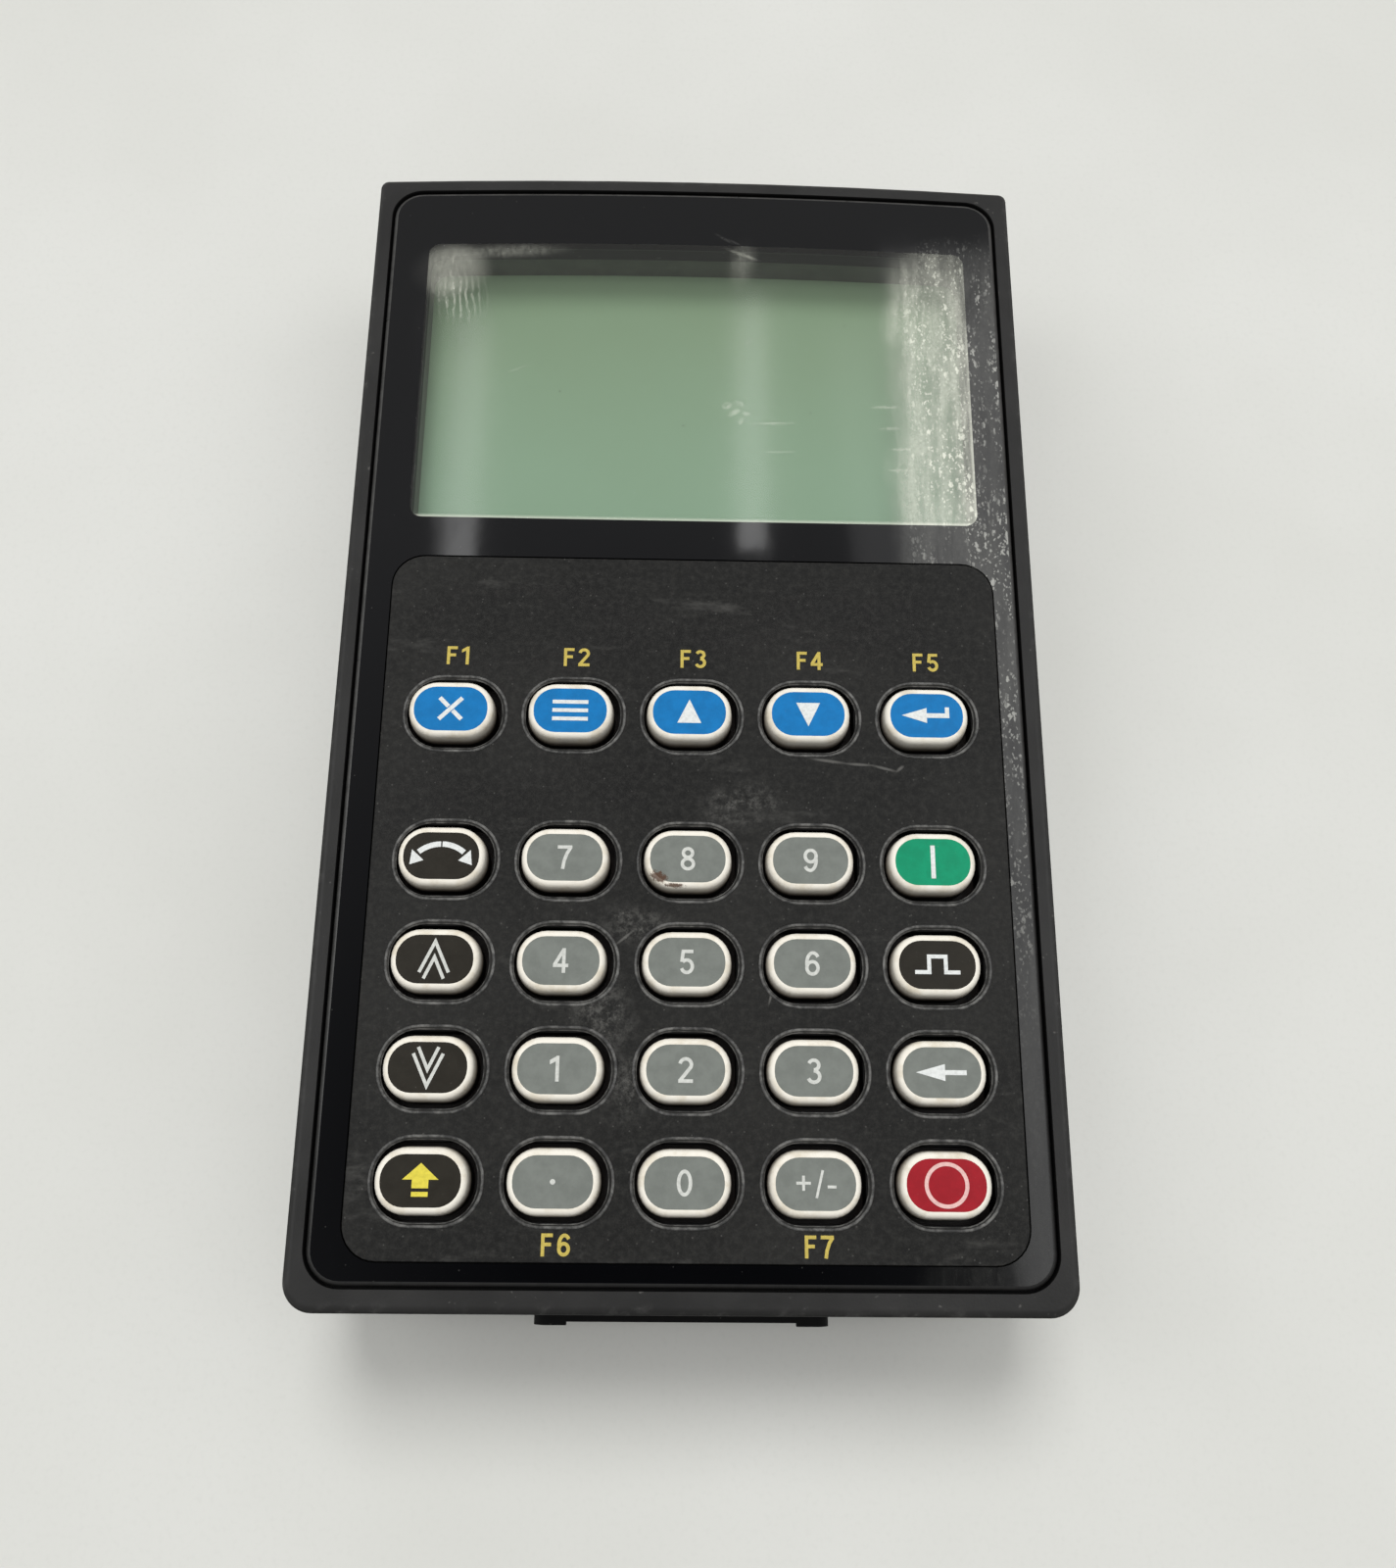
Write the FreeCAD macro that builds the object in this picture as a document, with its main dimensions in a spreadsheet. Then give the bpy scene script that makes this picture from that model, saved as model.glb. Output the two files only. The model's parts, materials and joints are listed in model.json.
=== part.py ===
import FreeCAD, Part
import math
import os
import Sketcher

# Drive keypad module lying on its back: +X right, +Y towards the display, +Z out of the front.
# The origin is the centre of the rear face.

doc = FreeCAD.newDocument("drive_keypad")
sheet = doc.addObject("Spreadsheet::Sheet", "sizes")

# Driving dimensions in millimetres. The width, height and depth of the case follow from what it holds.
drivingSizes = {
    # keys and the spaces between them
    "keyWidth": 9.2,
    "keyHeight": 6.5,
    "keyEndFlat": 0.3,
    "keyEdge": 0.6,
    "keyProud": 1.4,
    "keyGap": 3.5,
    "rowGap": 4.21,
    "topRowSpace": 9.59,
    "keyTravel": 0.9,
    "apertureMargin": 0.5,
    "flangeMargin": 1.1,
    "flangeThick": 1.0,
    "plungerWidth": 5.4,
    "plungerHeight": 3.4,
    "plungerPlay": 0.6,
    "contactGap": 0.1,
    "matThick": 1.0,
    "matEdge": 0.15,
    "ribThick": 0.8,
    # label over the key field, printed a little to the right of the middle
    "printShift": 0.35,
    "labelSideMargin": 3.3,
    "labelHead": 15.29,
    "labelLift": 4.71,
    "labelCorner": 3.5,
    "labelThick": 0.25,
    "labelSink": 0.05,
    "labelGap": 0.1,
    "labelHoleMargin": 0.65,
    # outline of the case, with a top edge bowed outwards
    "labelBorder": 3.17,
    "rimSide": 1.78,
    "rimBottom": 2.2,
    "topBow": 0.95,
    "cornerBottom": 3.0,
    "cornerTop": 1.0,
    "edgeRound": 0.8,
    "recessCorner": 3.7,
    # walls of the front housing
    "skirtGap": 0.8,
    "skirtWall": 2.0,
    "frontWall": 2.0,
    # overlay and its bonding sheet
    "overlayThick": 1.0,
    "overlaySink": 0.1,
    "overlayGap": 0.27,
    "overlayBevel": 0.4,
    "maskThick": 0.15,
    "maskInset": 0.3,
    # display window and well
    "windowInset": 1.25,
    "windowHeight": 36.9,
    "windowGap": 4.84,
    "windowCorner": 1.4,
    "wellMargin": 0.2,
    "holderMargin": 0.35,
    "holderWall": 0.8,
    "holderGap": 0.4,
    "displayDepth": 6.5,
    "cellOverlap": 0.3,
    "cellThick": 1.8,
    "cellPlay": 0.1,
    "guideThick": 2.2,
    "guideInset": 3.4,
    "stripWidth": 1.8,
    "ledSize": 1.6,
    "ledPitch": 10.0,
    # board and its fixings
    "boardThick": 1.6,
    "boardGap": 0.35,
    "boardEndGap": 0.5,
    "boardRest": 0.2,
    "chipSize": 14.0,
    "chipThick": 1.5,
    "chipSpread": 19.6,
    "canRadius": 2.5,
    "canHeight": 6.0,
    "canDrop": 18.2,
    "postSideInset": 8.25,
    "postEndInset": 5.3,
    "postRadius": 2.2,
    "postGap": 0.3,
    "screwRadius": 1.1,
    "screwPlay": 0.05,
    "headRadius": 1.7,
    "headThick": 1.2,
    "headPlay": 0.2,
    "screwGrip": 4.5,
    # rear housing
    "caseFit": 0.2,
    "rearWall": 1.5,
    "rearFloor": 2.0,
    "rearCorner": 2.0,
    "cavityCorner": 0.6,
    "rearEdge": 0.6,
    "spigot": 1.5,
    "railDepth": 1.4,
    "railHeight": 2.0,
    "railLift": 3.0,
    "railStart": 20.0,
    "railLength": 80.0,
    # data port and its shroud at the lower end
    "portWidth": 28.6,
    "portDepth": 8.0,
    "portFloor": 2.0,
    "shroudWall": 1.0,
    "shroudCorner": 1.5,
    "shroudReach": 1.5,
    "lipReach": 0.35,
    "lipWidth": 3.4,
    "shellRadius": 4.2,
    "shellMargin": 0.15,
    "shellWall": 0.4,
    "shellDepth": 7.5,
    "shellPlay": 0.05,
    "socketWidth": 13.0,
    "socketBack": 2.5,
    "pinRadius": 0.3,
    "pinCircle": 2.4,
    "pinLength": 5.5,
}
for number, (alias, size) in enumerate(drivingSizes.items(), start=1):
    sheet.set(f"A{number}", alias)
    sheet.set(f"B{number}", str(size))
    sheet.setAlias(f"B{number}", alias)
doc.recompute()

# Counts: columns of keys, rows of keys below the row set apart, and pins on the port's circle.
keyColumns = 5
lowerRows = 4
ringPins = 7
ringStart = -60
ringStep = 50

# Widths, from the keys outwards.
keyPitch = "(sizes.keyWidth + sizes.keyGap)"
rowPitch = "(sizes.keyHeight + sizes.rowGap)"
topRowPitch = "(sizes.keyHeight + sizes.topRowSpace)"
keyCorner = "((sizes.keyHeight - sizes.keyEndFlat) / 2)"
labelWidth = f"({keyColumns - 1} * {keyPitch} + sizes.keyWidth + 2 * sizes.labelSideMargin)"
caseWidth = f"({labelWidth} + 2 * (sizes.labelBorder + sizes.rimSide))"
windowWidth = f"({labelWidth} - 2 * sizes.windowInset)"

# Heights, from the lower end of the case up past the posts, keys, label and window.
postReach = "(sizes.postEndInset + sizes.postRadius)"
cellMargin = "(sizes.holderMargin + sizes.cellOverlap)"
holderEdge = f"({cellMargin} + sizes.cellPlay + sizes.holderWall)"
bottomRowLift = f"({postReach} + sizes.postGap + sizes.flangeMargin + sizes.keyHeight / 2)"
topRowLift = f"({bottomRowLift} + {lowerRows - 1} * {rowPitch} + {topRowPitch})"
labelTopLift = f"({topRowLift} + sizes.keyHeight / 2 + sizes.labelHead)"
windowLift = f"({labelTopLift} + sizes.windowGap)"
windowTopInset = f"({postReach} + sizes.holderGap + {holderEdge})"
caseHeight = f"({windowLift} + sizes.windowHeight + {windowTopInset})"

# Levels, from the rear face up through the port, board and display.
portHeight = "(2 * (sizes.shellRadius + sizes.shellMargin))"
portAxis = f"(sizes.rearFloor + {portHeight} / 2)"
shroudTop = f"(sizes.rearFloor + {portHeight} + sizes.shroudWall)"
skirtEnd = f"({shroudTop} + sizes.skirtGap)"
rearRim = f"({skirtEnd} + sizes.spigot)"
boardBack = f"({shroudTop} + sizes.boardRest)"
boardTop = f"({boardBack} + sizes.boardThick)"
matTop = f"({boardTop} + sizes.matThick)"
cellBack = f"({boardTop} + sizes.guideThick)"
cellFace = f"({cellBack} + sizes.cellThick)"
caseDepth = f"({cellFace} + sizes.displayDepth)"
overlayFront = f"({caseDepth} - sizes.overlaySink)"
recessFloor = f"({overlayFront} - sizes.overlayThick - sizes.maskThick)"
wallInside = f"({recessFloor} - sizes.frontWall)"
labelSeat = f"({overlayFront} - sizes.labelSink - sizes.labelThick)"
keyTop = f"({caseDepth} + sizes.keyProud)"

# Places in the frame of the part.
caseBottom = f"(-{caseHeight} / 2)"
caseCrown = f"({caseHeight} / 2)"
bowRadius = f"(({caseWidth} ^ 2 / 4 + sizes.topBow ^ 2) / (2 * sizes.topBow))"
rearInset = "(sizes.skirtWall + sizes.caseFit)"
cavityInset = f"({rearInset} + sizes.rearWall)"
firstColumn = f"(-{(keyColumns - 1) / 2} * {keyPitch})"
bottomRow = f"({caseBottom} + {bottomRowLift})"
topRow = f"({caseBottom} + {topRowLift})"
matMargin = "(sizes.keyHeight / 2 + sizes.flangeMargin + sizes.matEdge)"
labelLeft = f"(sizes.printShift - {labelWidth} / 2)"
labelRight = f"(sizes.printShift + {labelWidth} / 2)"
labelBottom = f"({caseBottom} + sizes.labelLift)"
labelTop = f"({caseBottom} + {labelTopLift})"
windowLeft = f"(sizes.printShift - {windowWidth} / 2)"
windowRight = f"(sizes.printShift + {windowWidth} / 2)"
windowBottom = f"({caseBottom} + {windowLift})"
boardPostLower = f"({topRow} - {topRowPitch} / 2)"
boardPostUpper = f"(({topRow} + {matMargin} + {windowBottom} - {holderEdge}) / 2)"
shroudEnd = f"({caseBottom} - sizes.shroudReach)"
portFloorFace = f"({shroudEnd} + sizes.portDepth)"
shellEnd = f"({portFloorFace} + sizes.shellDepth)"

pieces = []


def amount(expression):
    return float(sheet.evalExpression(expression))


def newBody(label):
    body = doc.addObject("PartDesign::Body", label)
    body.Label = label
    pieces.append(body)
    return body


def newSketch(body, name, level, plane="XY_Plane"):
    sketch = body.newObject("Sketcher::SketchObject", name)
    origin = [feature for feature in body.Origin.OriginFeatures if feature.Role == plane]
    sketch.AttachmentSupport = [(origin[0], "")]
    sketch.MapMode = "FlatFace"
    sketch.setExpression("AttachmentOffset.Base.z", level)
    return sketch


def tie(sketch, expression, kind, *where):
    index = sketch.addConstraint(Sketcher.Constraint(kind, *where, amount(expression)))
    sketch.setExpression(f"Constraints[{index}]", expression)


def line(x1, y1, x2, y2):
    return Part.LineSegment(FreeCAD.Vector(x1, y1, 0), FreeCAD.Vector(x2, y2, 0))


def arc(x, y, radius, start, end):
    circle = Part.Circle(FreeCAD.Vector(x, y, 0), FreeCAD.Vector(0, 0, 1), radius)
    return Part.ArcOfCircle(circle, start, end)


def rectangle(sketch, left, right, bottom, top):
    x1, x2, y1, y2 = amount(left), amount(right), amount(bottom), amount(top)
    corners = [(x1, y1), (x2, y1), (x2, y2), (x1, y2)]
    first = sketch.GeometryCount
    for index in range(4):
        sketch.addGeometry(line(*corners[index], *corners[(index + 1) % 4]))
    for index in range(4):
        following = first + (index + 1) % 4
        sketch.addConstraint(Sketcher.Constraint("Coincident", first + index, 2, following, 1))
        direction = "Horizontal" if index % 2 == 0 else "Vertical"
        sketch.addConstraint(Sketcher.Constraint(direction, first + index))
    tie(sketch, left, "DistanceX", -1, 1, first, 1)
    tie(sketch, right, "DistanceX", -1, 1, first, 2)
    tie(sketch, bottom, "DistanceY", -1, 1, first, 1)
    tie(sketch, top, "DistanceY", -1, 1, first + 2, 1)


def chainTangent(sketch, first, count):
    for index in range(count):
        following = first + (index + 1) % count
        sketch.addConstraint(Sketcher.Constraint("Tangent", first + index, 2, following, 1))


def roundedRectangle(sketch, left, right, bottom, top, radius):
    x1, x2, y1, y2, r = (amount(size) for size in (left, right, bottom, top, radius))
    first = sketch.GeometryCount
    quarter = math.pi / 2
    sketch.addGeometry(line(x1 + r, y1, x2 - r, y1))
    sketch.addGeometry(arc(x2 - r, y1 + r, r, -quarter, 0))
    sketch.addGeometry(line(x2, y1 + r, x2, y2 - r))
    sketch.addGeometry(arc(x2 - r, y2 - r, r, 0, quarter))
    sketch.addGeometry(line(x2 - r, y2, x1 + r, y2))
    sketch.addGeometry(arc(x1 + r, y2 - r, r, quarter, 2 * quarter))
    sketch.addGeometry(line(x1, y2 - r, x1, y1 + r))
    sketch.addGeometry(arc(x1 + r, y1 + r, r, 2 * quarter, 3 * quarter))
    chainTangent(sketch, first, 8)
    for side in (0, 4):
        sketch.addConstraint(Sketcher.Constraint("Horizontal", first + side))
    for side in (2, 6):
        sketch.addConstraint(Sketcher.Constraint("Vertical", first + side))
    for corner in (3, 5, 7):
        sketch.addConstraint(Sketcher.Constraint("Equal", first + 1, first + corner))
    tie(sketch, radius, "Radius", first + 1)
    tie(sketch, left, "DistanceX", -1, 1, first + 6, 1)
    tie(sketch, right, "DistanceX", -1, 1, first + 2, 1)
    tie(sketch, bottom, "DistanceY", -1, 1, first, 1)
    tie(sketch, top, "DistanceY", -1, 1, first + 4, 1)


def bowedOutline(sketch, left, right, bottom, crownInset, radiusBottom, radiusTop):
    # The top edge is an arc about the centre that the case's own bowed top has.
    centreY = f"{caseCrown} - {bowRadius}"
    bow = f"{bowRadius} - {crownInset}"
    x1, x2, y1 = amount(left), amount(right), amount(bottom)
    low, high, big, cy = amount(radiusBottom), amount(radiusTop), amount(bow), amount(centreY)
    rightY = cy + math.sqrt((big - high) ** 2 - (x2 - high) ** 2)
    leftY = cy + math.sqrt((big - high) ** 2 - (x1 + high) ** 2)
    rightAngle = math.atan2(rightY - cy, x2 - high)
    leftAngle = math.atan2(leftY - cy, x1 + high)
    first = sketch.GeometryCount
    sketch.addGeometry(line(x1 + low, y1, x2 - low, y1))
    sketch.addGeometry(arc(x2 - low, y1 + low, low, -math.pi / 2, 0))
    sketch.addGeometry(line(x2, y1 + low, x2, rightY))
    sketch.addGeometry(arc(x2 - high, rightY, high, 0, rightAngle))
    sketch.addGeometry(arc(0, cy, big, rightAngle, leftAngle))
    sketch.addGeometry(arc(x1 + high, leftY, high, leftAngle, math.pi))
    sketch.addGeometry(line(x1, leftY, x1, y1 + low))
    sketch.addGeometry(arc(x1 + low, y1 + low, low, math.pi, 1.5 * math.pi))
    chainTangent(sketch, first, 8)
    sketch.addConstraint(Sketcher.Constraint("Horizontal", first))
    sketch.addConstraint(Sketcher.Constraint("Vertical", first + 2))
    sketch.addConstraint(Sketcher.Constraint("Vertical", first + 6))
    sketch.addConstraint(Sketcher.Constraint("Equal", first + 1, first + 7))
    sketch.addConstraint(Sketcher.Constraint("Equal", first + 3, first + 5))
    sketch.addConstraint(Sketcher.Constraint("PointOnObject", first + 4, 3, -2))
    tie(sketch, radiusBottom, "Radius", first + 1)
    tie(sketch, radiusTop, "Radius", first + 3)
    tie(sketch, bow, "Radius", first + 4)
    tie(sketch, centreY, "DistanceY", -1, 1, first + 4, 3)
    tie(sketch, left, "DistanceX", -1, 1, first + 6, 1)
    tie(sketch, right, "DistanceX", -1, 1, first + 2, 1)
    tie(sketch, bottom, "DistanceY", -1, 1, first, 1)


def caseOutline(sketch, inset, radiusBottom, radiusTop, bottomInset=None):
    left = f"-{caseWidth} / 2 + {inset}"
    right = f"{caseWidth} / 2 - {inset}"
    bottom = f"{caseBottom} + {bottomInset or inset}"
    bowedOutline(sketch, left, right, bottom, inset, radiusBottom, radiusTop)


def windowOutline(sketch, margin):
    left = f"{windowLeft} - {margin}"
    right = f"{windowRight} + {margin}"
    bottom = f"{windowBottom} - {margin}"
    crownInset = f"({windowTopInset} - {margin})"
    radius = f"sizes.windowCorner + {margin}"
    bowedOutline(sketch, left, right, bottom, crownInset, radius, radius)


def labelOutline(sketch, margin):
    left = f"{labelLeft} - {margin}"
    right = f"{labelRight} + {margin}"
    bottom = f"{labelBottom} - {margin}"
    top = f"{labelTop} + {margin}"
    roundedRectangle(sketch, left, right, bottom, top, f"sizes.labelCorner + {margin}")


def circles(sketch, centres, radius):
    for x, y in centres:
        spot = FreeCAD.Vector(amount(x), amount(y), 0)
        index = sketch.addGeometry(Part.Circle(spot, FreeCAD.Vector(0, 0, 1), amount(radius)))
        tie(sketch, radius, "Radius", index)
        tie(sketch, x, "DistanceX", -1, 1, index, 3)
        tie(sketch, y, "DistanceY", -1, 1, index, 3)


def extrude(body, kind, name, sketch, length, reverse=False):
    feature = body.newObject(f"PartDesign::{kind}", name)
    feature.Profile = sketch
    feature.Reversed = reverse
    feature.setExpression("Length", length)
    body.Tip = feature
    doc.recompute()
    return feature


def pad(body, name, sketch, length, reverse=False):
    return extrude(body, "Pad", name, sketch, length, reverse)


def pocket(body, name, sketch, length, reverse=False):
    before = body.Shape.Volume
    feature = extrude(body, "Pocket", name, sketch, length, reverse)
    if body.Shape.Volume >= before:
        raise RuntimeError(f"{body.Label}: {name} cuts nothing")
    return feature


def patternColumns(body, name, feature, rows):
    pattern = body.newObject("PartDesign::LinearPattern", name)
    pattern.Originals = [feature]
    sketch = feature.Profile[0]
    pattern.Direction = (sketch, ["H_Axis"])
    pattern.Mode = "Spacing"
    pattern.setExpression("Offset", keyPitch)
    pattern.Occurrences = keyColumns
    if rows > 1:
        pattern.Direction2 = (sketch, ["V_Axis"])
        pattern.Mode2 = "Spacing"
        pattern.setExpression("Offset2", rowPitch)
        pattern.Occurrences2 = rows
        # Every gap between rows takes the common spacing.
        pattern.Spacings2 = [-1.0] * (rows - 1)
    body.Tip = pattern
    doc.recompute()


def cutKeyField(body, name, level, depth, drawHole, reverse=False):
    # One hole in the lower left corner repeats over the lower rows, and one along the row set apart above.
    for rowName, rowY, rows in (("lower", bottomRow, lowerRows), ("upper", topRow, 1)):
        sketch = newSketch(body, f"{name}_{rowName}_sketch", level)
        drawHole(sketch, rowY)
        feature = pocket(body, f"{name}_{rowName}", sketch, depth, reverse)
        patternColumns(body, f"{name}_{rowName}_rows", feature, rows)


def edgesOfFace(feature, level):
    # Names of the outer edges of the largest flat face that lies at this height.
    tolerance = 1e-5
    height = amount(level)
    flat = [face for face in feature.Shape.Faces
            if abs(face.BoundBox.ZMax - height) < tolerance and abs(face.BoundBox.ZMin - height) < tolerance]
    wanted = max(flat, key=lambda face: face.OuterWire.Length).OuterWire.Edges
    names = []
    for index, edge in enumerate(feature.Shape.Edges, start=1):
        if any(edge.isSame(other) for other in wanted):
            names.append(f"Edge{index}")
    return names


def roundEdges(body, kind, name, level, size):
    base = body.Tip
    feature = body.newObject(f"PartDesign::{kind}", name)
    feature.Base = (base, edgesOfFace(base, level))
    feature.setExpression("Radius" if kind == "Fillet" else "Size", size)
    body.Tip = feature
    doc.recompute()


postColumns = [f"{side} * ({caseWidth} / 2 - sizes.postSideInset)" for side in (-1, 1)]
casePosts = [(x, y) for x in postColumns
             for y in (f"{caseBottom} + sizes.postEndInset", f"{caseCrown} - sizes.postEndInset")]
boardPosts = [(x, y) for x in postColumns for y in (boardPostLower, boardPostUpper)]


def buildFrontHousing():
    body = newBody("front_housing")
    outline = newSketch(body, "bezel_outline", skirtEnd)
    caseOutline(outline, "0", "sizes.cornerBottom", "sizes.cornerTop")
    pad(body, "bezel", outline, f"{caseDepth} - {skirtEnd}")
    roundEdges(body, "Fillet", "bezel_edge", caseDepth, "sizes.edgeRound")

    inside = newSketch(body, "inside_outline", skirtEnd)
    insideCorner = "sizes.rearCorner + sizes.caseFit"
    caseOutline(inside, "sizes.skirtWall", insideCorner, insideCorner)
    pocket(body, "inside", inside, f"{wallInside} - {skirtEnd}", reverse=True)

    # The recess leaves a plateau that carries the label.
    recess = newSketch(body, "recess_outline", caseDepth)
    caseOutline(recess, "sizes.rimSide", "sizes.recessCorner", "sizes.recessCorner", "sizes.rimBottom")
    labelOutline(recess, "0")
    pocket(body, "recess", recess, f"{caseDepth} - {recessFloor}")
    plateau = newSketch(body, "plateau_outline", caseDepth)
    labelOutline(plateau, "0")
    pocket(body, "plateau", plateau, f"{caseDepth} - {labelSeat}")

    well = newSketch(body, "display_well_outline", caseDepth)
    windowOutline(well, "sizes.wellMargin")
    pocket(body, "display_well", well, f"{caseDepth} - {wallInside}")

    # Posts for the case screws and the board, and ribs that hold the mat down on the board.
    for name, centres, end in (("case_posts", casePosts, rearRim), ("board_posts", boardPosts, boardTop)):
        posts = newSketch(body, f"{name}_outline", end)
        circles(posts, centres, "sizes.postRadius")
        pad(body, name, posts, f"{wallInside} - {end}")
        pilots = newSketch(body, f"{name}_pilot_outline", end)
        circles(pilots, centres, "sizes.screwRadius + sizes.screwPlay")
        pocket(body, f"{name}_pilots", pilots, "sizes.screwGrip + sizes.headPlay", reverse=True)
    ribs = newSketch(body, "rib_outlines", matTop)
    ribLines = [f"{bottomRow} + {row + 0.5} * {rowPitch}" for row in range(lowerRows)]
    ribLines.append(f"{topRow} - {rowPitch} / 2")
    for ribLine in ribLines:
        rectangle(ribs, f"{firstColumn} - {keyPitch} / 2", f"-{firstColumn} + {keyPitch} / 2",
                  f"{ribLine} - sizes.ribThick / 2", f"{ribLine} + sizes.ribThick / 2")
    pad(body, "ribs", ribs, f"{wallInside} - {matTop}")

    def aperture(sketch, rowY):
        halfWidth = "(sizes.keyWidth / 2 + sizes.apertureMargin)"
        halfHeight = "(sizes.keyHeight / 2 + sizes.apertureMargin)"
        rectangle(sketch, f"{firstColumn} - {halfWidth}", f"{firstColumn} + {halfWidth}",
                  f"{rowY} - {halfHeight}", f"{rowY} + {halfHeight}")

    cutKeyField(body, "aperture", labelSeat, f"{labelSeat} - {wallInside}", aperture)


def buildOverlay():
    body = newBody("front_overlay")
    outline = newSketch(body, "overlay_outline", f"{recessFloor} + sizes.maskThick")
    corner = "sizes.recessCorner - sizes.overlayGap"
    caseOutline(outline, "(sizes.rimSide + sizes.overlayGap)", corner, corner,
                "(sizes.rimBottom + sizes.overlayGap)")
    labelOutline(outline, "sizes.labelGap")
    pad(body, "overlay", outline, "sizes.overlayThick")
    roundEdges(body, "Chamfer", "overlay_bevel", overlayFront, "sizes.overlayBevel")

    mask = newBody("overlay_mask")
    outline = newSketch(mask, "mask_outline", recessFloor)
    inset = "(sizes.rimSide + sizes.overlayGap + sizes.maskInset)"
    bottomInset = "(sizes.rimBottom + sizes.overlayGap + sizes.maskInset)"
    corner = f"{corner} - sizes.maskInset"
    caseOutline(outline, inset, corner, corner, bottomInset)
    labelOutline(outline, "sizes.labelGap")
    windowOutline(outline, "0")
    pad(mask, "mask", outline, "sizes.maskThick")


def buildLabel():
    body = newBody("keypad_label")
    outline = newSketch(body, "label_outline", labelSeat)
    labelOutline(outline, "0")
    pad(body, "label", outline, "sizes.labelThick")

    def keyHole(sketch, rowY):
        halfWidth = "(sizes.keyWidth / 2 + sizes.labelHoleMargin)"
        halfHeight = "(sizes.keyHeight / 2 + sizes.labelHoleMargin)"
        middle = f"{firstColumn} + sizes.printShift"
        roundedRectangle(sketch, f"{middle} - {halfWidth}", f"{middle} + {halfWidth}",
                         f"{rowY} - {halfHeight}", f"{rowY} + {halfHeight}",
                         f"{keyCorner} + sizes.labelHoleMargin")

    cutKeyField(body, "key_hole", f"{labelSeat} + sizes.labelThick", "sizes.labelThick", keyHole)


def buildMat():
    body = newBody("keypad_mat")
    outline = newSketch(body, "mat_outline", boardTop)
    rectangle(outline, f"{firstColumn} - {keyPitch} / 2", f"-{firstColumn} + {keyPitch} / 2",
              f"{bottomRow} - {matMargin}", f"{topRow} + {matMargin}")
    pad(body, "mat", outline, "sizes.matThick")
    clearance = newSketch(body, "post_clearance_outline", matTop)
    circles(clearance, [(x, boardPostLower) for x in postColumns],
            "sizes.postRadius + sizes.boardGap")
    pocket(body, "post_clearance", clearance, "sizes.matThick")

    def contactHole(sketch, rowY):
        halfWidth = "(sizes.plungerWidth / 2 + sizes.plungerPlay)"
        halfHeight = "(sizes.plungerHeight / 2 + sizes.plungerPlay)"
        rectangle(sketch, f"{firstColumn} - {halfWidth}", f"{firstColumn} + {halfWidth}",
                  f"{rowY} - {halfHeight}", f"{rowY} + {halfHeight}")

    cutKeyField(body, "contact_hole", matTop, "sizes.matThick", contactHole)


def buildKey(label, column, rowY):
    body = newBody(label)
    cap = newSketch(body, f"{label}_cap_outline", wallInside)
    roundedRectangle(cap, "-sizes.keyWidth / 2", "sizes.keyWidth / 2",
                     "-sizes.keyHeight / 2", "sizes.keyHeight / 2", keyCorner)
    pad(body, f"{label}_cap", cap, f"{keyTop} - {wallInside}")
    roundEdges(body, "Chamfer", f"{label}_rim", keyTop, "sizes.keyEdge")
    flange = newSketch(body, f"{label}_flange_outline", wallInside)
    halfWidth = "(sizes.keyWidth / 2 + sizes.flangeMargin)"
    halfHeight = "(sizes.keyHeight / 2 + sizes.flangeMargin)"
    rectangle(flange, f"-{halfWidth}", halfWidth, f"-{halfHeight}", halfHeight)
    pad(body, f"{label}_flange", flange, "sizes.flangeThick", reverse=True)
    tip = f"({boardTop} + sizes.keyTravel + sizes.contactGap)"
    plunger = newSketch(body, f"{label}_plunger_outline", tip)
    rectangle(plunger, "-sizes.plungerWidth / 2", "sizes.plungerWidth / 2",
              "-sizes.plungerHeight / 2", "sizes.plungerHeight / 2")
    pad(body, f"{label}_plunger", plunger, f"{wallInside} - sizes.flangeThick - {tip}")
    body.setExpression("Placement.Base.x", f"{firstColumn} + {column} * {keyPitch}")
    body.setExpression("Placement.Base.y", rowY)


def buildKeys():
    keyRows = [
        ("shift", "point", "0", "sign", "stop"),
        ("slower", "1", "2", "3", "backspace"),
        ("faster", "4", "5", "6", "jog"),
        ("direction", "7", "8", "9", "start"),
        ("escape", "select", "up", "down", "enter"),
    ]
    for row, names in enumerate(keyRows):
        rowY = topRow if row == lowerRows else f"{bottomRow} + {row} * {rowPitch}"
        for column, name in enumerate(names):
            buildKey(f"key_{name}", column, rowY)


def box(name, left, right, bottom, top, low, high):
    block = doc.addObject("Part::Box", name)
    block.setExpression("Length", f"({right}) - ({left})")
    block.setExpression("Width", f"({top}) - ({bottom})")
    block.setExpression("Height", f"({high}) - ({low})")
    block.setExpression("Placement.Base.x", left)
    block.setExpression("Placement.Base.y", bottom)
    block.setExpression("Placement.Base.z", low)
    return block


def cylinder(name, x, y, low, high, radius):
    rod = doc.addObject("Part::Cylinder", name)
    rod.setExpression("Radius", radius)
    rod.setExpression("Height", f"({high}) - ({low})")
    rod.setExpression("Placement.Base.x", x)
    rod.setExpression("Placement.Base.y", y)
    rod.setExpression("Placement.Base.z", low)
    return rod


def group(label, members):
    bundle = doc.addObject("Part::Compound", label)
    bundle.Label = label
    bundle.Links = members
    pieces.append(bundle)


def single(label, piece):
    piece.Label = label
    pieces.append(piece)


# The display cell reaches past the holder's opening on all sides.
cellLeft = f"({windowLeft} - {cellMargin})"
cellRight = f"({windowRight} + {cellMargin})"
cellBottom = f"({windowBottom} - {cellMargin})"
cellTop = f"({caseCrown} - {windowTopInset} + {cellMargin})"


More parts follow.
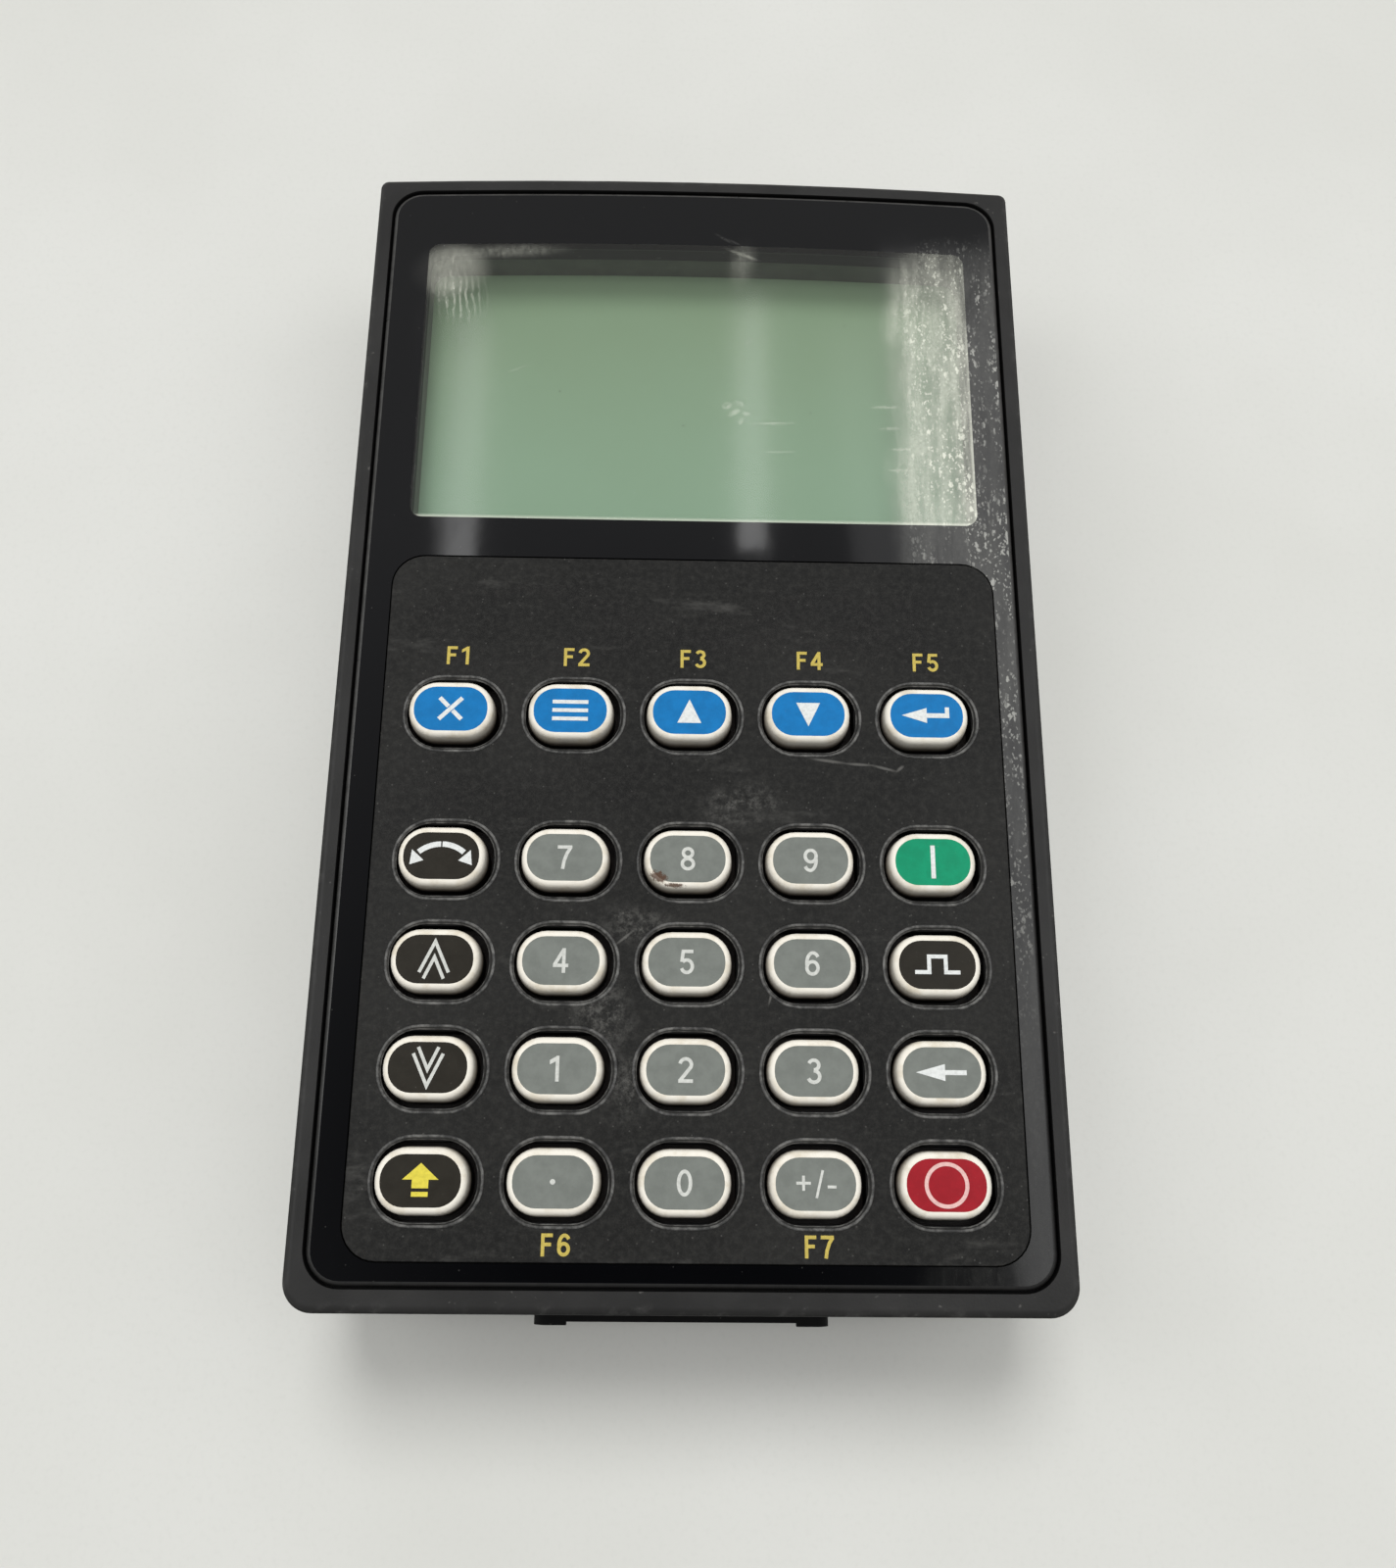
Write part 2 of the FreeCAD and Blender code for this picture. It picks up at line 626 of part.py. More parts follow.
def buildDisplay():
    holder = newBody("lcd_frame")
    outside = newSketch(holder, "holder_outline", boardTop)
    wall = "(sizes.cellPlay + sizes.holderWall)"
    rectangle(outside, f"{cellLeft} - {wall}", f"{cellRight} + {wall}",
              f"{cellBottom} - {wall}", f"{cellTop} + {wall}")
    pad(holder, "holder", outside, f"{wallInside} - {boardTop}")
    seat = newSketch(holder, "cell_seat_outline", boardTop)
    rectangle(seat, f"{cellLeft} - sizes.cellPlay", f"{cellRight} + sizes.cellPlay",
              f"{cellBottom} - sizes.cellPlay", f"{cellTop} + sizes.cellPlay")
    pocket(holder, "cell_seat", seat, f"{cellFace} - {boardTop}", reverse=True)
    opening = newSketch(holder, "holder_opening_outline", wallInside)
    windowOutline(opening, "sizes.holderMargin")
    pocket(holder, "holder_opening", opening, f"{wallInside} - {cellFace}")

    single("lcd_glass", box("lcd_glass", cellLeft, cellRight, cellBottom, cellTop, cellBack, cellFace))
    guideLeft = f"({cellLeft} + sizes.guideInset)"
    guideRight = f"({cellRight} - sizes.guideInset)"
    guideBottom = f"({cellBottom} + sizes.guideInset)"
    guideTop = f"({cellTop} - sizes.guideInset)"
    single("backlight_guide",
           box("backlight_guide", guideLeft, guideRight, guideBottom, guideTop, boardTop, cellBack))
    group("lcd_contact_strips", [
        box("upper_strip", guideLeft, guideRight,
            f"{cellTop} - sizes.stripWidth", cellTop, boardTop, cellBack),
        box("lower_strip", guideLeft, guideRight,
            cellBottom, f"{cellBottom} + sizes.stripWidth", boardTop, cellBack),
    ])
    leds = []
    for step in (-1, 0, 1):
        middle = f"({cellBottom} + {cellTop}) / 2 + {step} * sizes.ledPitch"
        leds.append(box(f"led_{step + 2}", guideRight, f"{guideRight} + sizes.ledSize",
                        f"{middle} - sizes.ledSize / 2", f"{middle} + sizes.ledSize / 2",
                        boardTop, f"{boardTop} + sizes.ledSize"))
    group("backlight_leds", leds)


def buildBoard():
    board = newBody("main_board")
    outline = newSketch(board, "board_outline", boardBack)
    halfWidth = f"({caseWidth} / 2 - {cavityInset} - sizes.boardGap)"
    endInset = f"({postReach} + sizes.boardEndGap)"
    rectangle(outline, f"-{halfWidth}", halfWidth,
              f"{caseBottom} + {endInset}", f"{caseCrown} - {endInset}")
    circles(outline, boardPosts, "sizes.screwRadius + sizes.screwPlay")
    pad(board, "board", outline, "sizes.boardThick")

    # Parts soldered to the back of the board.
    chipLow = f"({boardBack} - sizes.chipThick)"
    half = "sizes.chipSize / 2"
    chipMiddle = f"({boardPostUpper} + sizes.chipSize)"
    single("control_chip", box("control_chip", f"-{half}", half, f"{chipMiddle} - {half}",
                               f"{chipMiddle} + {half}", chipLow, boardBack))
    group("board_chips", [
        box(f"chip_{name}", f"{middle} - {half} / 2", f"{middle} + {half} / 2",
            f"{boardPostLower} - {half}", f"{boardPostLower} + {half}", chipLow, boardBack)
        for name, middle in (("left", "-sizes.chipSpread"), ("right", "sizes.chipSpread"))
    ])
    canLow = f"{boardBack} - sizes.canHeight"
    canY = f"{boardPostLower} - sizes.canDrop"
    group("board_capacitors", [
        cylinder(f"can_{name}", f"{sign} * sizes.chipSpread", canY, canLow, boardBack, "sizes.canRadius")
        for name, sign in (("left", -1), ("right", 1))
    ])


def screws(label, centres, headLow, tip):
    members = []
    for index, (x, y) in enumerate(centres):
        head = cylinder(f"{label}_head_{index}", x, y, headLow,
                        f"{headLow} + sizes.headThick", "sizes.headRadius")
        shank = cylinder(f"{label}_shank_{index}", x, y, f"{headLow} + sizes.headThick",
                         tip, "sizes.screwRadius")
        screw = doc.addObject("Part::Fuse", f"{label}_{index}")
        screw.Base = head
        screw.Tool = shank
        members.append(screw)
    group(label, members)


def buildRearHousing():
    body = newBody("rear_housing")
    outline = newSketch(body, "tub_outline", "0")
    caseOutline(outline, rearInset, "sizes.rearCorner", "sizes.rearCorner")
    pad(body, "tub", outline, rearRim)
    roundEdges(body, "Fillet", "tub_edge", "0", "sizes.rearEdge")
    cavity = newSketch(body, "cavity_outline", rearRim)
    caseOutline(cavity, cavityInset, "sizes.cavityCorner", "sizes.cavityCorner")
    pocket(body, "cavity", cavity, f"{rearRim} - sizes.rearFloor")

    # Rails that slide in the cradle.
    rails = newSketch(body, "rail_outlines", "sizes.railLift")
    wall = f"({caseWidth} / 2 - {rearInset})"
    railBottom = f"{caseBottom} + sizes.railStart"
    railTop = f"{railBottom} + sizes.railLength"
    rectangle(rails, wall, f"{wall} + sizes.railDepth", railBottom, railTop)
    rectangle(rails, f"-{wall} - sizes.railDepth", f"-{wall}", railBottom, railTop)
    pad(body, "rails", rails, "sizes.railHeight")

    # Posts under the case screws, with a sunk seat for each head.
    posts = newSketch(body, "post_outlines", "sizes.rearFloor")
    circles(posts, casePosts, "sizes.postRadius")
    pad(body, "posts", posts, f"{rearRim} - sizes.rearFloor")
    holes = newSketch(body, "screw_hole_outlines", rearRim)
    circles(holes, casePosts, "sizes.screwRadius + sizes.screwPlay")
    pocket(body, "screw_holes", holes, rearRim)
    seats = newSketch(body, "head_seat_outlines", "0")
    circles(seats, casePosts, "sizes.headRadius + sizes.screwPlay")
    pocket(body, "head_seats", seats, "sizes.headThick + sizes.headPlay", reverse=True)

    # The shroud reaches out of the lower end, and its floor holds the port's metal shell.
    halfWidth = "(sizes.portWidth / 2 + sizes.shroudWall)"
    lipEnd = f"({shroudEnd} - sizes.lipReach)"
    shroud = newSketch(body, "shroud_outline", f"-{lipEnd}", "XZ_Plane")
    roundedRectangle(shroud, f"-{halfWidth}", halfWidth, "sizes.rearFloor - sizes.shroudWall", shroudTop,
                     "sizes.shroudCorner")
    pad(body, "shroud", shroud, "sizes.lipReach + sizes.portDepth + sizes.portFloor", reverse=True)
    mouth = newSketch(body, "port_mouth_outline", f"-{lipEnd}", "XZ_Plane")
    rectangle(mouth, "-sizes.portWidth / 2", "sizes.portWidth / 2",
              "sizes.rearFloor", f"sizes.rearFloor + {portHeight}")
    pocket(body, "port_mouth", mouth, "sizes.lipReach + sizes.portDepth")
    shellHole = newSketch(body, "shell_hole_outline", f"-{portFloorFace}", "XZ_Plane")
    circles(shellHole, [("0", portAxis)], "sizes.shellRadius + sizes.shellPlay")
    pocket(body, "shell_hole", shellHole, "sizes.portFloor")
    # Between the lips at its two ends, the rim of the mouth is set back.
    rim = newSketch(body, "rim_outline", f"-{lipEnd}", "XZ_Plane")
    lipInside = f"({halfWidth} - sizes.lipWidth)"
    rectangle(rim, f"-{lipInside}", lipInside, "sizes.rearFloor - sizes.shroudWall", shroudTop)
    pocket(body, "set_back_rim", rim, "sizes.lipReach")


def buildPort():
    body = newBody("port_body")
    back = f"({shellEnd} + sizes.socketBack)"
    floorBack = f"({portFloorFace} + sizes.portFloor)"
    outline = newSketch(body, "socket_outline", f"-{floorBack}", "XZ_Plane")
    rectangle(outline, "-sizes.socketWidth / 2", "sizes.socketWidth / 2", "sizes.rearFloor", boardBack)
    pad(body, "socket", outline, f"{back} - {floorBack}", reverse=True)
    bore = newSketch(body, "socket_bore_outline", f"-{floorBack}", "XZ_Plane")
    circles(bore, [("0", portAxis)], "sizes.shellRadius + sizes.shellPlay")
    pocket(body, "socket_bore", bore, f"{shellEnd} - {floorBack}")

    shell = newBody("port_shell")
    ring = newSketch(shell, "shell_outline", f"-{portFloorFace}", "XZ_Plane")
    circles(ring, [("0", portAxis)], "sizes.shellRadius")
    circles(ring, [("0", portAxis)], "sizes.shellRadius - sizes.shellWall")
    pad(shell, "shell", ring, "sizes.shellDepth", reverse=True)

    pins = newBody("port_pins")
    rods = newSketch(pins, "pin_outlines", f"-{shellEnd}", "XZ_Plane")
    centres = []
    for index in range(ringPins):
        angle = math.radians(ringStart + ringStep * index)
        centres.append((f"sizes.pinCircle * {math.cos(angle):.4f}",
                        f"{portAxis} + sizes.pinCircle * {math.sin(angle):.4f}"))
    centres.append(("0", portAxis))
    circles(rods, centres, "sizes.pinRadius")
    pad(pins, "pins", rods, "sizes.pinLength")


buildFrontHousing()
buildOverlay()
buildLabel()
buildMat()
buildKeys()
buildDisplay()
buildBoard()
buildRearHousing()
buildPort()
screws("case_screws", casePosts, "sizes.headPlay", f"{rearRim} + sizes.screwGrip")
screws("board_screws", boardPosts, f"{boardBack} - sizes.headThick", f"{boardTop} + sizes.screwGrip")
doc.recompute()

for item in doc.Objects:
    if "Invalid" in item.State or "Error" in item.State:
        raise RuntimeError(f"{item.Label} failed: {item.State}")
for piece in pieces:
    if piece.Shape.isNull() or not piece.Shape.isValid():
        raise RuntimeError(f"{piece.Label} has no valid shape")

os.makedirs("parts", exist_ok=True)
for piece in pieces:
    piece.Shape.exportStep(f"parts/{piece.Label}.step")
    print(f"{piece.Label}: {len(piece.Shape.Solids)} solids, {piece.Shape.Volume:.1f} cubic mm")
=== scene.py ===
import json
import math

import bmesh
import bpy
from mathutils import Euler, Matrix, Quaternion, Vector

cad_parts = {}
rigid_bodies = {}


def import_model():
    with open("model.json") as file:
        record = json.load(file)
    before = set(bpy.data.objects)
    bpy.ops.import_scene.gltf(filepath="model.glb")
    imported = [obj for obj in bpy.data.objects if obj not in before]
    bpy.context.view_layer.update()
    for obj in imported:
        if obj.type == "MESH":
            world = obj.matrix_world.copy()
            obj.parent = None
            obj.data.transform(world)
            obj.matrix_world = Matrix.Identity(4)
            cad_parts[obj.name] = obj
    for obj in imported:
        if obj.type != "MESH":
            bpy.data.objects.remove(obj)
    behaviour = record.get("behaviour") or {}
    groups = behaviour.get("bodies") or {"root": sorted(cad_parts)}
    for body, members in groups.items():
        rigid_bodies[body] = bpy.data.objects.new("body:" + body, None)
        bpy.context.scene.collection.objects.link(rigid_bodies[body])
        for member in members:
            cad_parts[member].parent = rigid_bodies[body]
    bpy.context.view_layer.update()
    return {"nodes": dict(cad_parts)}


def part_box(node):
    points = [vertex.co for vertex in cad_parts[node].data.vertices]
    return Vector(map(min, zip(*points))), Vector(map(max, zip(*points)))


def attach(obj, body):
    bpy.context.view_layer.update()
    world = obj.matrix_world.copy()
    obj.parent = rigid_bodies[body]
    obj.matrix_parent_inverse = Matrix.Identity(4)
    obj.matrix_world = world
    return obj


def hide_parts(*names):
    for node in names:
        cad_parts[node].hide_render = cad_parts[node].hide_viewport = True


for leftover in list(bpy.data.objects):
    bpy.data.objects.remove(leftover)
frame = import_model()

# The part lies on its back: +X right, +Y towards the display, +Z out of the front. Sizes are in mm.
mm = 0.001


def nodeBox(name):
    low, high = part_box(name)
    return low / mm, high / mm


def keyCentre(name):
    low, high = nodeBox("key_" + name)
    return (low + high) / 2


caseHigh = nodeBox("front_housing")[1]
labelLow, labelHigh = nodeBox("keypad_label")
overlayLow, overlayHigh = nodeBox("front_overlay")
holderLow, holderHigh = nodeBox("lcd_frame")
cellLow, cellHigh = nodeBox("lcd_glass")
# the display window is set in from the label's sides and from the display holder's lower end
windowInset = {"side": 1.25, "low": 1.55}
windowEdge = {
    "low": holderLow.y + windowInset["low"],
    "left": labelLow.x + windowInset["side"],
    "right": labelHigh.x - windowInset["side"],
}
print("frame loaded:", len(frame["nodes"]), "nodes")


# Node maths

class Wire:
    def __init__(self, bench, socket):
        self.bench = bench
        self.socket = socket

    def maths(self, operation, first, second=None):
        return self.bench.add("ShaderNodeMath", {"operation": operation}, {0: first, 1: second})

    def __add__(self, other):
        return self.maths("ADD", self, other)

    def __radd__(self, other):
        return self.maths("ADD", other, self)

    def __sub__(self, other):
        return self.maths("SUBTRACT", self, other)

    def __rsub__(self, other):
        return self.maths("SUBTRACT", other, self)

    def __mul__(self, other):
        return self.maths("MULTIPLY", self, other)

    def __rmul__(self, other):
        return self.maths("MULTIPLY", other, self)

    def __truediv__(self, other):
        return self.maths("DIVIDE", self, other)

    def __rtruediv__(self, other):
        return self.maths("DIVIDE", other, self)

    def __abs__(self):
        return self.maths("ABSOLUTE", self)

    def larger(self, other):
        return self.maths("MAXIMUM", self, other)

    def smaller(self, other):
        return self.maths("MINIMUM", self, other)


class Bench:
    # a node tree to work on, for materials and for geometry alike
    def __init__(self, tree):
        self.tree = tree

    def add(self, kind, settings=None, inputs=None, output=0):
        node = self.tree.nodes.new(kind)
        for name, value in (settings or {}).items():
            if name == "stops":
                self.setStops(node.color_ramp, value)
            else:
                setattr(node, name, value)
        for key, value in (inputs or {}).items():
            if isinstance(value, (Wire, list)):
                for wire in value if isinstance(value, list) else [value]:
                    self.tree.links.new(wire.socket, node.inputs[key])
            elif value is not None:
                node.inputs[key].default_value = value
        return Wire(self, node.outputs[output]) if len(node.outputs) else node

    def setStops(self, ramp, stops):
        while len(ramp.elements) < len(stops):
            ramp.elements.new(1.0)
        for element, (place, shade) in zip(ramp.elements, stops):
            element.position = place
            element.color = (*shade, 1.0)

    def place(self):
        # object coordinates in mm
        spot = self.add("ShaderNodeTexCoord", output="Object")
        return self.add("ShaderNodeVectorMath", {"operation": "SCALE"}, {0: spot, 3: 1 / mm})

    def stretched(self, spot, scale, turn=0.0):
        rotation = (0, 0, math.radians(turn))
        return self.add("ShaderNodeMapping", {"vector_type": "POINT"},
                        {"Vector": spot, "Rotation": rotation, "Scale": scale})

    def split(self, spot):
        first = self.add("ShaderNodeSeparateXYZ", None, {0: spot})
        return [Wire(self, output) for output in first.socket.node.outputs]

    def noise(self, spot, scale, detail=3.0, rough=0.55):
        return self.add("ShaderNodeTexNoise", {"noise_dimensions": "3D"},
                        {"Vector": spot, "Scale": scale, "Detail": detail, "Roughness": rough}, "Fac")

    def shifts(self, spot, scale):
        # a small random vector for each place
        noise = self.add("ShaderNodeTexNoise", None, {"Vector": spot, "Scale": scale, "Detail": 1.0}, "Color")
        return self.add("ShaderNodeVectorMath", {"operation": "SUBTRACT"}, {0: noise, 1: (0.5, 0.5, 0.5)})

    def cells(self, spot, scale):
        # distance to the nearest of many scattered points
        return self.add("ShaderNodeTexVoronoi", {"feature": "F1"},
                        {"Vector": spot, "Scale": scale}, "Distance")

    def step(self, value, low, high, start=0.0, end=1.0):
        return self.add("ShaderNodeMapRange", {"interpolation_type": "SMOOTHSTEP"},
                        {"Value": value, "From Min": low, "From Max": high, "To Min": start, "To Max": end})

    def tint(self, factor, first, second):
        shades = {}
        for key, shade in ((6, first), (7, second)):
            shades[key] = shade if isinstance(shade, Wire) else (*shade, 1.0)
        return self.add("ShaderNodeMix", {"data_type": "RGBA"}, {0: factor, **shades}, 2)

    def ramp(self, value, stops):
        return self.add("ShaderNodeValToRGB", {"stops": stops}, {0: value}, "Color")

    def bump(self, height, strength, depth):
        return self.add("ShaderNodeBump", None,
                        {"Strength": strength, "Distance": depth * mm, "Height": height})


def newFinish(name):
    material = bpy.data.materials.new(name)
    material.use_nodes = True
    material.node_tree.nodes.clear()
    return material, Bench(material.node_tree)


def showSurface(bench, shader):
    bench.add("ShaderNodeOutputMaterial", None, {"Surface": shader})


def plainSurface(bench, colour, rough, normal=None, gloss=0.5, metallic=0.0):
    shader = bench.add("ShaderNodeBsdfPrincipled", None,
                       {"Base Color": colour, "Roughness": rough, "Normal": normal,
                        "Specular IOR Level": gloss, "Metallic": metallic})
    showSurface(bench, shader)


patchDepth = 1000.0        # a patch reaches through the whole front


def patch(bench, spot, x, y, long, wide, turn=0.0, core=0.0):
    # 1 at a place on the front, fading to 0 at an ellipse round it
    local = bench.add("ShaderNodeMapping", {"vector_type": "TEXTURE"},
                      {"Vector": spot, "Location": (x, y, 0), "Rotation": (0, 0, math.radians(turn)),
                       "Scale": (long / 2, wide / 2, patchDepth)})
    away = bench.add("ShaderNodeVectorMath", {"operation": "LENGTH"}, {0: local}, "Value")
    return bench.step(away, 1.0, core)


# Finishes: patterns are in waves per mm, and the plain figures after them are a noise's detail and
# roughness, or the values between which a mask goes from 0 to 1

bezelLook = {
    "dark": (0.0165, 0.0163, 0.0157),
    "pale": (0.0260, 0.0256, 0.0247),
    # sides: painted shade, the same plastic drawn near black below the front edge
    "sides": (0.0018, 0.0018, 0.0019),
    "worn": (0.055, 0.054, 0.052),
    "dust": (0.16, 0.155, 0.145),
    "patches": 0.08, "grain": 3.2, "specks": 1.1, "rubs": 0.55,
    # mm in from the sides, the ends and the front: where the wear starts, and where it is full
    "wornSides": (1.0, 0.2), "wornEnds": (1.4, 0.3), "wornDrop": (1.1, 0.35),
    "paintedShadeDrop": (0.04, 0.4),      # below the front, where the painted shade on the sides begins and where it is full
    "shade": 0.92, "dusting": 0.35, "rubbing": 0.55,
    "rough": 0.43, "gloss": 0.32,
}


def makeBezelFinish():
    look = bezelLook
    material, bench = newFinish("bezelPlastic")
    spot = bench.place()
    x, y, z = bench.split(spot)

    def inFrom(place, limit, band):
        return bench.step(place, limit - band[0], limit - band[1])

    patches = bench.noise(spot, look["patches"], 4.0, 0.6)
    grain = bench.noise(spot, look["grain"], 2.0, 0.5)
    specks = bench.step(bench.noise(spot, look["specks"], 2.0, 0.7), 0.69, 0.76)
    # handling wear along the outer edge of the front
    sides = inFrom(abs(x), caseHigh.x, look["wornSides"])
    ends = inFrom(abs(y), caseHigh.y, look["wornEnds"])
    edge = sides.larger(ends) * inFrom(z, caseHigh.z, look["wornDrop"])
    rubbed = edge * bench.step(bench.noise(spot, look["rubs"], 5.0, 0.7), 0.5, 0.72)
    # painted shade: below the front edge the sides turn near black, and rougher
    below = inFrom(z, caseHigh.z, look["paintedShadeDrop"])
    face = bench.tint(bench.step(patches, 0.3, 0.75), look["dark"], look["pale"])
    body = bench.tint(below * look["shade"], face, look["sides"])
    dusty = bench.tint(specks * look["dusting"], body, look["dust"])
    colour = bench.tint(rubbed * look["rubbing"], dusty, look["worn"])
    rough = look["rough"] + (patches - 0.5) * 0.22 - rubbed * 0.12 + below * 0.34
    plainSurface(bench, colour, rough, bench.bump(grain, 0.35, 0.05), look["gloss"])
    return material


# scratches on the clear overlay: place, length, width in mm, turn in degrees, strength
scratches = [
    (4.0, 33.6, 1.7, 1.3, 10, 0.5), (5.4, 33.9, 1.8, 1.0, -20, 0.45), (4.8, 32.7, 2.4, 1.0, 30, 0.5),
    (6.2, 32.6, 1.5, 0.9, 0, 0.4), (5.6, 31.6, 1.4, 1.0, 60, 0.35),
    (9.6, 31.4, 7.4, 0.6, 2, 0.4), (10.0, 27.7, 5.4, 0.55, 1, 0.28), (6.6, 42.2, 1.6, 0.8, 40, 0.25),
    (22.4, 33.8, 4.6, 0.6, 2, 0.4), (22.9, 31.0, 4.0, 0.6, 2, 0.4), (24.0, 28.3, 3.6, 0.5, 2, 0.35),
    (23.6, 25.6, 4.2, 0.5, 2, 0.3), (3.6, 56.6, 3.4, 0.5, -33, 0.6),
    (4.9, 56.1, 2.6, 0.45, -28, 0.45), (5.8, 54.4, 5.4, 0.7, -22, 0.3), (-20.5, 38.0, 6.0, 0.25, 24, 0.2),
]
# the scuffed strip down the right
scuffZone = {
    "edge": 23.7, "flecks": 25.3,          # where the haze and the flecks begin
    "soft": 2.0, "wave": 4.5,              # how soft and how wavy their border is
    "topStart": 47.0, "topFull": 39.0,     # the upper end, which leans
    "topLean": 0.35, "topWave": 1.8,
    "low": -64.0, "full": 20.0,            # it weakens towards the lower end
    "flecksLow": -48.0, "flecksFull": -16.0,
    "haze": 0.09, "grain": 2.2, "drawn": 0.55, "bands": 0.6,
    "flecksPerMm": 1.55, "specksPerMm": 2.79, "ragged": 0.55,
}
# upright scores in the upper left corner
comb = {"x": -27.6, "y": 47.4, "wide": 8.6, "high": 9.4, "pitch": 0.8, "lean": 0.12, "waver": 9.0}
# painted reflections of overhead lights, drawn as hazy patches in the same corner and beside the middle:
# place, length, width, turn
paintedReflections = [(-28.8, 52.6, 9.0, 6.0, 8.0), (-22.0, 54.2, 17.0, 2.6, 3.0), (-29.4, 49.0, 6.0, 7.0, 0.0),
         (5.8, 53.0, 9.0, 4.2, 80.0)]
cornerReflection = (-29.0, 51.4, 11.0, 8.4, 8.0)     # the smooth part of the painted reflection in the corner


def scuffedStrip(bench, spot, grain):
    zone = scuffZone
    x, y = bench.split(spot)[:2]
    wave = (bench.noise(spot, zone["haze"], 3.0, 0.6) - 0.5) * zone["wave"]
    across = bench.step(x + wave, zone["edge"] - zone["soft"], zone["edge"] + zone["soft"])
    inner = bench.step(x + wave, zone["flecks"] - zone["soft"], zone["flecks"] + zone["soft"])
    top = y - x * zone["topLean"] + wave * zone["topWave"]
    upper = bench.step(top, zone["topStart"], zone["topFull"])
    down = bench.step(y, zone["low"], zone["full"], 0.25, 1.0) * upper
    drawn = bench.noise(bench.stretched(spot, (1.0, 0.16, 1.0), 4.0), zone["drawn"], 4.0, 0.65)
    veil = across * down * bench.step(drawn, 0.28, 0.72, 0.30, 1.0) * bench.step(grain, 0.2, 0.8, 0.6, 1.0)
    # flecks of two sizes with ragged outlines, gathered in upright bands
    pushed = bench.add("ShaderNodeVectorMath", {"operation": "SCALE"},
                       {0: bench.shifts(spot, 2.4), 3: zone["ragged"]})
    ragged = bench.add("ShaderNodeVectorMath", {"operation": "ADD"}, {0: spot, 1: pushed})
    large = bench.cells(bench.stretched(ragged, (1.0, 0.42, 1.0), 9.0), zone["flecksPerMm"])
    small = bench.cells(bench.stretched(ragged, (1.0, 0.5, 1.0), -14.0), zone["specksPerMm"])
    bands = bench.noise(bench.stretched(spot, (1.0, 0.16, 1.0), 3.0), zone["bands"], 3.0, 0.6)
    flecks = bench.step(large, 0.36, 0.2) * bench.step(bands, 0.44, 0.6)
    specks = bench.step(small, 0.38, 0.16) * bench.step(bands, 0.34, 0.6)
    lower = bench.step(y, zone["flecksLow"], zone["flecksFull"], 0.08, 1.0)
    return veil, flecks.larger(specks * 0.8) * inner * down * lower


def scuffMasks(bench, spot):
    # where hands and tools have marked the overlay: the strip's haze and flecks, and single scratches; the
    # third mask also carries painted reflections of overhead lights
    grain = bench.noise(spot, scuffZone["grain"], 4.0, 0.75)
    veil, flecked = scuffedStrip(bench, spot, grain)
    lines = 0.0
    for *oval, strength in scratches:
        lines = patch(bench, spot, *oval, core=0.2) * strength + lines
    x, y = bench.split(spot)[:2]
    leaning = (x + y * comb["lean"]) * (2 * math.pi / comb["pitch"])
    wavering = leaning + bench.noise(spot, 0.45, 2.0) * comb["waver"]
    scores = bench.add("ShaderNodeMath", {"operation": "SINE"}, {0: wavering})
    corner = patch(bench, spot, comb["x"], comb["y"], comb["wide"], comb["high"])
    combed = bench.step(scores, 0.1, 0.9) * corner
    # painted reflections of overhead lights, as hazy patches broken up by fine noise
    cloudy = 0.0
    for place in paintedReflections:
        cloudy = patch(bench, spot, *place) + cloudy
    fine = bench.noise(bench.stretched(spot, (3.0, 0.8, 1.0), 6.0), 1.0, 4.0, 0.75)
    paintedReflection = cloudy * bench.step(fine, 0.32, 0.76, 0.25, 1.0) * bench.step(grain, 0.25, 0.6, 0.5, 1.0)
    paintedReflection = paintedReflection * 0.38 + patch(bench, spot, *cornerReflection, core=0.45) * 0.26
    broken = bench.step(grain, 0.34, 0.58)
    return veil, flecked, (lines * broken + combed * broken * 0.6 + paintedReflection).smaller(1.0)


glossLook = {
    "ink": (0.0012, 0.0013, 0.0016),
    "scuff": (0.52, 0.52, 0.48),
    "veil": 0.13, "flecked": 0.55, "lines": 0.08, "dusting": 0.05,      # how much each kind of wear shows; lines also carry the painted reflections
    "dust": 0.55, "smear": 0.12, "ripple": 0.25,
    "rough": 0.05,
}


def makeGlossFinish():
    look = glossLook
    material, bench = newFinish("glossOverlay")
    spot = bench.place()
    veil, flecked, lines = scuffMasks(bench, spot)
    dust = bench.step(bench.cells(spot, look["dust"]), 0.05, 0.03)
    scuffed = veil * look["veil"] + flecked * look["flecked"] + lines * look["lines"]
    wear = (scuffed + dust * look["dusting"]).smaller(1.0)
    colour = bench.tint(wear, look["ink"], look["scuff"])
    smear = bench.noise(bench.stretched(spot, (1.0, 0.35, 1.0), 20.0), look["smear"], 4.0, 0.65)
    rough = look["rough"] + bench.step(smear, 0.45, 0.8) * 0.07 + veil * 0.12 + flecked * 0.25
    relief = bench.bump(bench.noise(spot, look["ripple"], 2.0, 0.5), 0.06, 0.04)
    plainSurface(bench, colour, rough, relief)
    return material


windowLook = {
    "clear": (0.97, 0.98, 0.975, 1.0),
    "film": (0.68, 0.69, 0.59, 1.0),
    # lines carry scratches and scores, and also the painted reflections of overhead lights
    "veil": 0.62, "flecked": 0.6, "lines": 0.62, "cut": 0.4, "everywhere": 0.015, "most": 0.94,
    # painted highlight standing for the light caught by the lower and right cut edges: in mm from them, and
    # where along y the right one shows
    "lowEdgeHighlight": (0.45, 0.1), "rightEdgeHighlight": (0.4, 0.1), "rightEdgeHighlightEnd": (50.0, 25.0), "rightHighlightShare": 0.9,
    "mirror": (1.0, 1.0, 1.0, 1.0), "rough": 0.09, "ior": 1.5,
}


